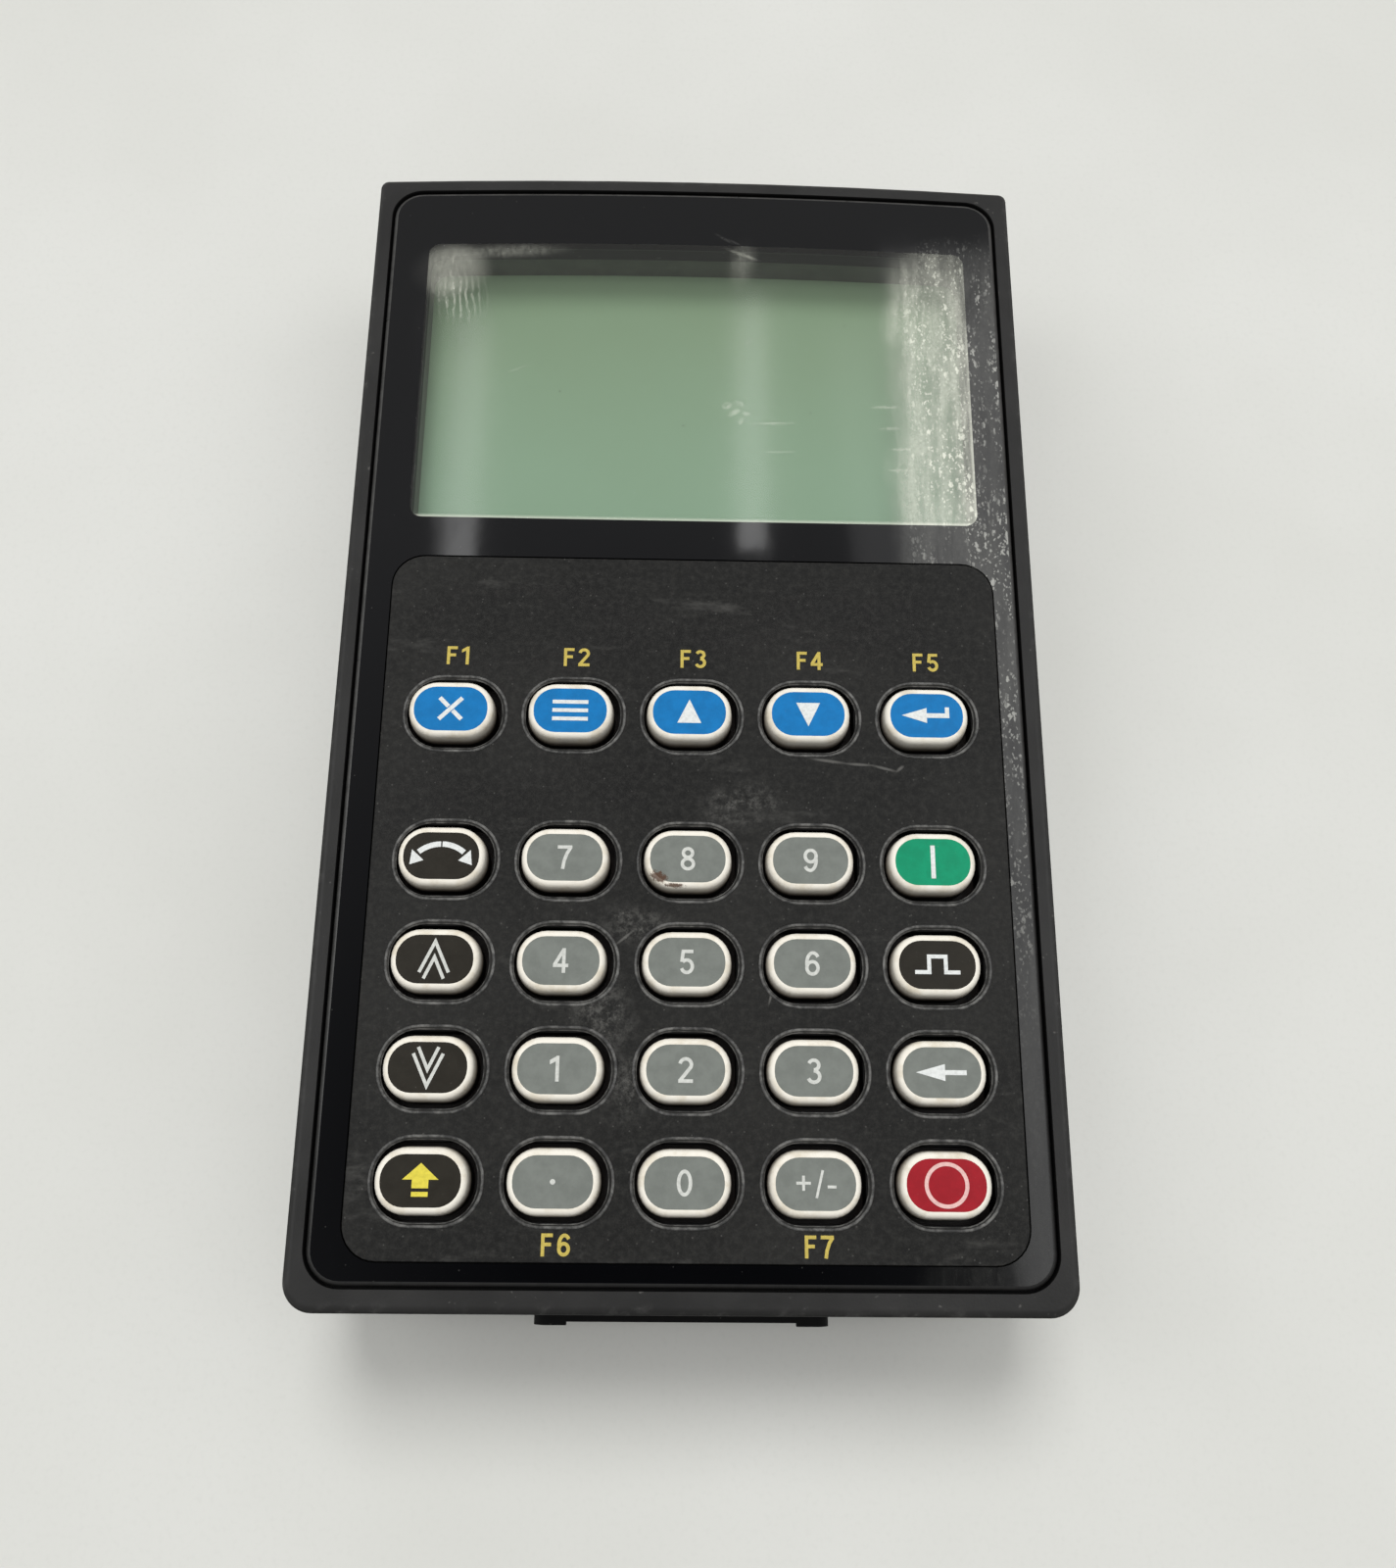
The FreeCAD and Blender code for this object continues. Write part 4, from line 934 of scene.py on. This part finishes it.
def keySigns():
    # for each key: ink colour and a list of solids, each an outline with any holes
    triangle = [(0, 1.42), (-1.28, -1.23), (1.28, -1.23)]
    returnArrow = [(-2.68, 0), (0, -0.85), (0, -0.26), (2.42, -0.26), (2.42, 0.95), (1.97, 0.95),
                   (1.97, 0.26), (0, 0.26), (0, 0.85)]
    backArrow = [(-2.6, 0), (0.3, -0.83), (0.3, -0.24), (2.44, -0.24), (2.44, 0.24), (0.3, 0.24), (0.3, 0.83)]
    shiftArrow = [(0, 1.65), (-1.75, 0.1), (-0.8, 0.1), (-0.8, -0.7), (0.8, -0.7), (0.8, 0.1), (1.75, 0.1)]
    stepPulse = [(-2.3, -0.95), (-2.3, -0.55), (-1.05, -0.55), (-1.05, 1.05), (1.05, 1.05), (1.05, -0.55),
                 (2.3, -0.55), (2.3, -0.95), (0.65, -0.95), (0.65, 0.65), (-0.65, 0.65), (-0.65, -0.95)]
    band, head = curvedArrow()
    double = [chevron(2.18, 1.62, 3.45, 0.33), chevron(0.6, 1.15, 2.5, 0.33)]
    lines = [bar(-1.9, y, 1.9, y, 0.42) for y in (0.95, 0.0, -0.95)]
    drawn = {
        "escape": ("white", [[outline] for outline in crossBars(1.2, 0.46)]),
        "select": ("white", [[outline] for outline in lines]),
        "up": ("white", [[triangle]]),
        "down": ("white", [flip([triangle])]),
        "enter": ("white", [[returnArrow]]),
        "direction": ("white", [band, head, mirror(band), mirror(head)]),
        "start": ("white", [[bar(0, -1.75, 0, 1.75, 0.46)]]),
        "faster": ("grey", [[outline] for outline in double]),
        "slower": ("grey", [flip([outline]) for outline in double]),
        "jog": ("white", [[stepPulse]]),
        "backspace": ("white", [[backArrow]]),
        "shift": ("yellow", [[shiftArrow], [bar(-0.8, -1.25, 0.8, -1.25, 0.45)]]),
        "point": ("grey", [[ovalOutline(0, 0, 0.26, 0.26, 20)]]),
        "sign": ("grey", [[outline] for outline in plusMinus()]),
        "stop": ("rose", [[ovalOutline(0, 0, 2.17, 2.17, 48), ovalOutline(0, 0, 1.79, 1.79, 48)]]),
    }
    for name, solids in glyphs(keyCap["numeralWeight"]).items():
        drawn[name] = ("grey", placed(solids, 0.0, 0.0, keyCap["numeral"]))
    return drawn


# Keys: one rubber piece each, from the plunger tip up to the printed top

keyRows = [
    ("escape", "select", "up", "down", "enter"),
    ("direction", "7", "8", "9", "start"),
    ("faster", "4", "5", "6", "jog"),
    ("slower", "1", "2", "3", "backspace"),
    ("shift", "point", "0", "sign", "stop"),
]
keyNames = [name for row in keyRows for name in row]
keyPrints = {"start": "green", "stop": "red"}
for name in keyRows[0]:
    keyPrints[name] = "blue"
for name in ("direction", "faster", "slower", "jog", "shift"):
    keyPrints[name] = "black"
signs = keySigns()


def keyLevels(node, x, y):
    # the loops of a key from its plunger tip to the edge of the print
    cap = keyCap
    low, high = nodeBox(node)
    top = high.z
    flangeTop = holderHigh.z
    flangeLow = flangeTop - cap["flangeThick"]
    plunger = (cap["plungerWidth"] / 2, cap["plungerHeight"] / 2)
    flange = ((high.x - low.x) / 2, (high.y - low.y) / 2)
    levels = []
    for half, level in ((plunger, low.z), (plunger, flangeLow), (flange, flangeLow), (flange, flangeTop)):
        levels.append(roundedLoop(x, y, *half, cap["plungerCorner"], level))
    shoulderStart = top - cap["shoulderDrop"]
    profile = [(0.0, flangeTop), (0.0, labelHigh.z - cap["skirt"]), (cap["draft"], shoulderStart)]
    for step in range(1, cap["shoulderSteps"] + 1):
        angle = math.pi / 2 * step / cap["shoulderSteps"]
        profile.append((cap["draft"] + cap["shoulder"] * (1 - math.cos(angle)),
                        shoulderStart + (cap["shoulderDrop"] - cap["crown"]) * math.sin(angle)))
    for inset, level in profile:
        levels.append(roundedLoop(x, y, cap["width"] / 2 - inset, cap["height"] / 2 - inset,
                                  cap["corner"] - inset, level))
    levels.append(roundedLoop(x, y, cap["printWidth"] / 2, cap["printHeight"] / 2, cap["printCorner"],
                              top - cap["crown"]))
    return levels, top


def makeKey(name):
    cap = keyCap
    node = "key_" + name
    x, y = keyCentre(name).xy
    levels, top = keyLevels(node, x, y)
    shape = bmesh.new()
    loops = [addLoop(shape, points) for points in levels]
    for below, above in zip(loops, loops[1:]):
        joinLoops(shape, below, above)
    shape.faces.new(list(reversed(loops[0])))
    middleTop = top - cap["crownMiddle"]
    inner = addLoop(shape, roundedLoop(x, y, cap["printWidth"] / 4, cap["printHeight"] / 4,
                                       cap["printCorner"] / 2, middleTop))
    joinLoops(shape, loops[-1], inner, 1)
    middle = shape.faces.new(inner)
    middle.material_index = 1
    middle.smooth = True
    inkName, solids = signs[name]
    for order, outlines in enumerate(placed(solids, x, y)):
        inkTop = middleTop + cap["inkProud"] + order * cap["inkStep"]
        addPrism(shape, outlines, top - cap["inkRoot"], inkTop, 2)
    piece = finishMesh("keycap_" + name, shape, ["ivory", keyPrints.get(name, "grey"), inkName + "Ink"], 50.0)
    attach(piece, node)
    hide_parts(node)


for keyName in keyNames:
    makeKey(keyName)
print("keys made:", len(keyNames))


# Overlay: one clear plate, printed black behind except at the window

overlay = {
    "topBow": 0.95, "crownInset": 2.05, "corner": 3.43,
    "bevel": 0.45, "bevelSteps": 3, "labelGap": 0.1, "labelCorner": 3.5,
    "windowCorner": 1.4, "windowTop": 9.45,
}
caseBow = (caseHigh.x ** 2 + overlay["topBow"] ** 2) / (2 * overlay["topBow"])
labelMiddle = (labelLow + labelHigh) / 2
labelHalf = (labelHigh - labelLow) / 2
overlayOutline = {
    "left": overlayLow.x, "right": overlayHigh.x, "bottom": overlayLow.y, "corner": overlay["corner"],
    "crown": caseHigh.y - overlay["crownInset"], "bowRadius": caseBow - overlay["crownInset"],
}
windowOutline = {
    "left": windowEdge["left"], "right": windowEdge["right"], "bottom": windowEdge["low"],
    "corner": overlay["windowCorner"],
    "crown": caseHigh.y - overlay["windowTop"], "bowRadius": caseBow - overlay["windowTop"],
}


def labelLoop(wider, corner, level):
    # the label's outline, made wider all round
    return roundedLoop(labelMiddle.x, labelMiddle.y, labelHalf.x + wider, labelHalf.y + wider,
                       corner + wider, level)


def makeOverlay():
    shape = bmesh.new()
    low, high = overlayLow.z, overlayHigh.z
    bevel = overlay["bevel"]
    outer = [(0.0, low), (0.0, high - bevel)]
    for step in range(1, overlay["bevelSteps"] + 1):
        angle = math.pi / 2 * step / overlay["bevelSteps"]
        outer.append((bevel * (1 - math.cos(angle)), high - bevel + bevel * math.sin(angle)))
    outerLoops = [addLoop(shape, bowedLoop(overlayOutline, inset, level)) for inset, level in outer]
    joinLoops(shape, outerLoops[0], outerLoops[1])
    # the rounded edge takes the painted edge highlight
    for below, above in zip(outerLoops[1:], outerLoops[2:]):
        joinLoops(shape, below, above, 2)
    gap, corner = overlay["labelGap"], overlay["labelCorner"]
    openings = [addLoop(shape, labelLoop(gap, corner, level)) for level in (low, high)]
    joinLoops(shape, openings[1], openings[0])
    windows = [addLoop(shape, bowedLoop(windowOutline, 0.0, level)) for level in (low, high)]
    for index, edge in ((0, outerLoops[0]), (1, outerLoops[-1])):
        fillLoops(shape, [edge, openings[index], windows[index]])
        fillLoops(shape, [windows[index]], 1)
    piece = finishMesh("overlay_plate", shape, ["gloss", "window", "edge"], 40.0)
    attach(piece, "case")
    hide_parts("front_overlay")


makeOverlay()
print("overlay made")


# Label film with a hole for each key

label = {"corner": 3.5, "sideMargin": 0.48, "endMargin": 0.62, "shift": 0.2, "soften": 0.06, "cutEdge": 0.11}


def makeLabel():
    shape = bmesh.new()
    low, high = labelLow.z, labelHigh.z
    soften, cutEdge = label["soften"], label["cutEdge"]
    edge = [(0.0, low), (0.0, high - soften), (-soften, high)]
    outer = [addLoop(shape, labelLoop(wider, label["corner"], level)) for wider, level in edge]
    joinLoops(shape, outer[0], outer[1])
    joinLoops(shape, outer[1], outer[2])
    bottoms, tops = [outer[0]], [outer[2]]
    halfX = keyCap["width"] / 2 + label["sideMargin"]
    halfY = keyCap["height"] / 2 + label["endMargin"]
    corner = keyCap["corner"] + label["sideMargin"]
    for name in keyNames:
        x, y = keyCentre(name).xy
        holes = []
        for wider, level in ((0.0, low), (0.0, high - cutEdge), (cutEdge, high)):
            holes.append(addLoop(shape, roundedLoop(x + label["shift"], y, halfX + wider, halfY + wider,
                                                    corner + wider, level)))
        joinLoops(shape, holes[1], holes[0])
        joinLoops(shape, holes[2], holes[1], 1)
        bottoms.append(holes[0])
        tops.append(holes[2])
    fillLoops(shape, bottoms)
    fillLoops(shape, tops)
    piece = finishMesh("label_film", shape, ["label", "ring"])
    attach(piece, "case")
    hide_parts("keypad_label")


makeLabel()
print("label made")


# Embossed rings round the key holes, and screws in the back: Geometry Nodes, with sizes in m

def newTree(name, sizes):
    tree = bpy.data.node_groups.new(name, "GeometryNodeTree")
    tree.interface.new_socket("Geometry", in_out="OUTPUT", socket_type="NodeSocketGeometry")
    sockets = {}
    for title, (kind, value) in sizes.items():
        socket = tree.interface.new_socket(title, in_out="INPUT", socket_type="NodeSocket" + kind)
        sockets[title] = (socket.identifier, value)
    bench = Bench(tree)
    source = bench.add("NodeGroupInput").socket.node
    wires = {title: Wire(bench, source.outputs[title]) for title in sizes}
    return tree, bench, wires, sockets


def endTree(bench, shapes, finishName):
    joined = bench.add("GeometryNodeJoinGeometry", None, {0: shapes})
    whole = bench.add("GeometryNodeRealizeInstances", None, {0: joined})
    dressed = bench.add("GeometryNodeSetMaterial", None,
                        {"Geometry": whole, "Material": finishes[finishName]})
    bench.add("NodeGroupOutput", None, {0: dressed})


def growPiece(name, tree, sockets):
    # the tree's result as a plain mesh
    seed = addToScene(name + "_seed", bpy.data.meshes.new(name + "_seed"))
    modifier = seed.modifiers.new("shape", "NODES")
    modifier.node_group = tree
    for identifier, value in sockets.values():
        modifier[identifier] = value
    graph = bpy.context.evaluated_depsgraph_get()
    mesh = bpy.data.meshes.new_from_object(seed.evaluated_get(graph))
    seed.modifiers.clear()
    bpy.data.objects.remove(seed)
    mesh.name = name
    return addToScene(name, mesh)


ring = {
    "width": 10.95, "height": 8.45, "corner": 4.05, "shift": 0.28,
    "bead": 0.16, "flatten": 0.65, "beadSides": 8, "cornerSteps": 8,
}


def makeRings():
    # the number rows lie at an even pitch, and the top row stands apart
    upper = keyCentre(keyRows[0][0])
    second, lower = keyCentre(keyRows[1][0]), keyCentre(keyRows[-1][0])
    beside = keyCentre(keyRows[-1][1])
    evenRows = len(keyRows) - 1
    sizes = {
        "Ring Width": ("Float", ring["width"] * mm),
        "Ring Height": ("Float", ring["height"] * mm),
        "Corner Radius": ("Float", ring["corner"] * mm),
        "Bead Radius": ("Float", ring["bead"] * mm),
        "Column Pitch": ("Float", (beside.x - lower.x) * mm),
        "Row Pitch": ("Float", (second.y - lower.y) / (evenRows - 1) * mm),
        "Columns": ("Int", len(keyRows[0])),
        "Rows": ("Int", evenRows),
        "Lower Corner": ("Vector", Vector((lower.x + ring["shift"], lower.y, labelHigh.z)) * mm),
        "Upper Corner": ("Vector", Vector((upper.x + ring["shift"], upper.y, labelHigh.z)) * mm),
    }
    tree, bench, wire, sockets = newTree("keyHoleRings", sizes)
    path = bench.add("GeometryNodeCurvePrimitiveQuadrilateral", None,
                     {"Width": wire["Ring Width"], "Height": wire["Ring Height"]})
    rounded = bench.add("GeometryNodeFilletCurve", {"mode": "POLY"},
                        {"Curve": path, "Radius": wire["Corner Radius"], "Count": ring["cornerSteps"],
                         "Limit Radius": True})
    profile = bench.add("GeometryNodeCurvePrimitiveCircle", {"mode": "RADIUS"},
                        {"Resolution": ring["beadSides"], "Radius": wire["Bead Radius"]})
    bead = bench.add("GeometryNodeCurveToMesh", None, {"Curve": rounded, "Profile Curve": profile})
    low = bench.add("GeometryNodeTransform", None, {"Geometry": bead, "Scale": (1.0, 1.0, ring["flatten"])})
    soft = bench.add("GeometryNodeSetShadeSmooth", None, {"Geometry": low, "Shade Smooth": True})
    acrossStep = bench.add("ShaderNodeCombineXYZ", None, {"X": wire["Column Pitch"]})
    upStep = bench.add("ShaderNodeCombineXYZ", None, {"Y": wire["Row Pitch"]})
    columns = bench.add("GeometryNodeMeshLine", {"mode": "OFFSET"},
                        {"Count": wire["Columns"], "Offset": acrossStep})
    oneRow = bench.add("GeometryNodeInstanceOnPoints", None, {"Points": columns, "Instance": soft})
    rows = bench.add("GeometryNodeMeshLine", {"mode": "OFFSET"},
                     {"Count": wire["Rows"], "Start Location": wire["Lower Corner"], "Offset": upStep})
    field = bench.add("GeometryNodeInstanceOnPoints", None, {"Points": rows, "Instance": oneRow})
    apart = bench.add("GeometryNodeTransform", None,
                      {"Geometry": oneRow, "Translation": wire["Upper Corner"]})
    endTree(bench, [field, apart], "ring")
    piece = growPiece("key_hole_rings", tree, sockets)
    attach(piece, "case")


makeRings()

screw = {
    "head": 1.7, "headThick": 1.2, "headSides": 40, "shank": 1.1, "shankSides": 28,
    "slotWide": 0.5, "slotLong": 2.1, "slotDeep": 0.8,
}


def makeScrews():
    low, high = nodeBox("case_screws")
    sizes = {
        "Head Radius": ("Float", screw["head"] * mm),
        "Head Thickness": ("Float", screw["headThick"] * mm),
        "Shank Radius": ("Float", screw["shank"] * mm),
        "Shank Length": ("Float", (high.z - low.z - screw["headThick"]) * mm),
        "Spread X": ("Float", (high.x - low.x - 2 * screw["head"]) * mm),
        "Spread Y": ("Float", (high.y - low.y - 2 * screw["head"]) * mm),
        "Head Face": ("Float", low.z * mm),
    }
    tree, bench, wire, sockets = newTree("caseScrews", sizes)

    def lifted(shape, height):
        way = bench.add("ShaderNodeCombineXYZ", None, {"Z": height})
        return bench.add("GeometryNodeTransform", None, {"Geometry": shape, "Translation": way})

    head = bench.add("GeometryNodeMeshCylinder", None,
                     {"Vertices": screw["headSides"], "Radius": wire["Head Radius"],
                      "Depth": wire["Head Thickness"]})
    cut = lifted(head, wire["Head Thickness"] / 2.0)
    long, wide, deep = screw["slotLong"] * mm, screw["slotWide"] * mm, 2 * screw["slotDeep"] * mm
    for size in ((long, wide, deep), (wide, long, deep)):
        slot = bench.add("GeometryNodeMeshCube", None, {"Size": size})
        cut = bench.add("GeometryNodeMeshBoolean", {"operation": "DIFFERENCE"}, {0: cut, 1: slot})
    shank = bench.add("GeometryNodeMeshCylinder", None,
                      {"Vertices": screw["shankSides"], "Radius": wire["Shank Radius"],
                       "Depth": wire["Shank Length"]})
    body = lifted(shank, wire["Head Thickness"] + wire["Shank Length"] / 2.0)
    whole = bench.add("GeometryNodeJoinGeometry", None, {0: [cut, body]})
    corners = bench.add("GeometryNodeMeshGrid", None,
                        {"Size X": wire["Spread X"], "Size Y": wire["Spread Y"],
                         "Vertices X": 2, "Vertices Y": 2})
    seats = lifted(corners, wire["Head Face"])
    field = bench.add("GeometryNodeInstanceOnPoints", None, {"Points": seats, "Instance": whole})
    endTree(bench, [field], "screw")
    piece = growPiece("back_screws", tree, sockets)
    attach(piece, "case")
    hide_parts("case_screws")


makeScrews()
print("rings and screws made")


# Plain function marks printed on the label

marks = {
    "height": 2.1, "thick": 0.03, "sink": 0.015, "weight": 0.16,
    "above": 6.7, "below": 5.8, "shift": 0.35,     # from the middle of the key
    "step": 0.78,                                  # from letter to number, as a share of the height
}


def makeMarks():
    shape = bmesh.new()
    level = labelHigh.z - marks["sink"]
    letters = glyphs(marks["weight"])
    height = marks["height"]
    side = marks["step"] * height / 2
    number = 0
    for offset, names in ((marks["above"], keyRows[0]), (-marks["below"], ("point", "sign"))):
        for name in names:
            number += 1
            middle = keyCentre(name)
            x, y = middle.x + marks["shift"], middle.y + offset
            for letter, letterX in (("F", x - side), (str(number), x + side)):
                for order, outlines in enumerate(placed(letters[letter], letterX, y, height)):
                    addPrism(shape, outlines, level, level + marks["thick"] + order * keyCap["inkStep"], 0)
    piece = finishMesh("function_marks", shape, ["ochreInk"])
    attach(piece, "case")


makeMarks()
print("marks made")


# Table, light and camera

tableHalf = 6000.0


def makeTable():
    shape = bmesh.new()
    half = tableHalf
    corners = [(-half, -half), (half, -half), (half, half), (-half, half)]
    face = shape.faces.new([shape.verts.new((x, y, 0.0)) for x, y in corners])
    face.normal_update()
    piece = finishMesh("table", shape, ["table"])


makeTable()

# broad even light from beyond the display, and a weaker one overhead; the gloss mirrors neither
suns = {
    "key": {"place": (-0.06, 0.56, 1.04), "power": 1.58, "spread": 24.0},
    "fill": {"place": (0.0, -0.1, 1.0), "power": 0.84, "spread": 30.0},
}
# lamps at the sides: place and size in m, power in W
sideLamps = {
    "left": {"place": (-0.66, 0.15, 0.85), "size": (0.5, 0.7), "power": 1.9},
    "right": {"place": (0.66, 0.15, 0.85), "size": (0.5, 0.7), "power": 1.5},
}
# weak lamps overhead for the gloss to mirror: two strips, and over the scuffs a broad one that two
# weaker ones soften; place, size, power, turn in degrees
mirroredLamps = {
    "stripLeft": ((-0.2, 0.61), (0.03, 0.3), 0.08, 0.0),
    "stripMiddle": ((0.068, 0.65), (0.025, 0.27), 0.07, 0.0),
    "veil": ((0.3014, 0.31), (0.132, 0.9), 0.46, 5.6),
    "veilSide": ((0.1895, 0.5), (0.054, 0.52), 0.045, 5.6),
    "veilEnd": ((0.27, 0.803), (0.15, 0.085), 0.022, 0.0),
}
mirroredHeight = 1.02


def makeSun(name, place, power, spread):
    light = bpy.data.lights.new(name, "SUN")
    light.energy = power
    light.angle = math.radians(spread)
    holder = addToScene(name + "_lamp", light)
    holder.rotation_euler = (-Vector(place)).to_track_quat("-Z", "Y").to_euler()
    holder.visible_glossy = False


def makeLamp(name, place, size, power, faces=(0.0, 0.0, 0.0), turn=0.0):
    light = bpy.data.lights.new(name, "AREA")
    light.shape = "RECTANGLE"
    light.size, light.size_y = size
    light.energy = power
    holder = addToScene(name + "_lamp", light)
    holder.location = place
    way = Vector(faces) - Vector(place)
    twist = Quaternion((0.0, 0.0, 1.0), math.radians(turn))
    holder.rotation_euler = (way.to_track_quat("-Z", "Y") @ twist).to_euler()


# the sky from the horizon up: a pale band, and dark straight overhead so that the gloss stays black
skyStops = [
    (0.0, (0.78, 0.78, 0.76)), (0.08, (0.72, 0.72, 0.70)), (0.24, (0.24, 0.24, 0.24)),
    (0.72, (0.42, 0.42, 0.42)), (0.87, (0.38, 0.38, 0.39)), (0.95, (0.2, 0.2, 0.21)),
    (0.995, (0.02, 0.02, 0.025)),
]
# it is dimmer beyond the lower end
skyShade = {"colour": (0.02, 0.02, 0.02), "start": -0.1, "full": -0.8, "strength": 0.5}


def makeWorld():
    world = bpy.data.worlds.new("studio")
    world.use_nodes = True
    world.node_tree.nodes.clear()
    bench = Bench(world.node_tree)
    y, z = bench.split(bench.add("ShaderNodeTexCoord", output="Generated"))[1:]
    dimmer = bench.step(y, skyShade["start"], skyShade["full"]) * skyShade["strength"]
    colour = bench.tint(dimmer, bench.ramp(z, skyStops), skyShade["colour"])
    sky = bench.add("ShaderNodeBackground", None, {"Color": colour, "Strength": 1.0})
    bench.add("ShaderNodeOutputWorld", None, {"Surface": sky})
    bpy.context.scene.world = world


for sunName, sun in suns.items():
    makeSun(sunName, **sun)
for lampName, lamp in sideLamps.items():
    makeLamp(lampName, **lamp)
for lampName, ((lampX, lampY), size, power, turn) in mirroredLamps.items():
    makeLamp(lampName, (lampX, lampY, mirroredHeight), size, power, (lampX, lampY, 0.0), turn)
makeWorld()

# a close wide lens, over the keys and a little tipped from the upright: mm and degrees
viewpoint = {
    "place": (-1.65, -54.41, 162.69), "turn": (16.889, -1.237, 0.465),
    "lens": 31.40, "sensor": 36.0, "nearest": 5.0,
}


def makeCamera():
    lens = bpy.data.cameras.new("view")
    lens.sensor_width = viewpoint["sensor"]
    lens.lens = viewpoint["lens"]
    lens.clip_start = viewpoint["nearest"] * mm
    camera = addToScene("view", lens)
    camera.location = Vector(viewpoint["place"]) * mm
    camera.rotation_euler = Euler([math.radians(angle) for angle in viewpoint["turn"]])
    bpy.context.scene.camera = camera


makeCamera()
bpy.context.scene.view_settings.view_transform = "Standard"
print("table, light and camera set")
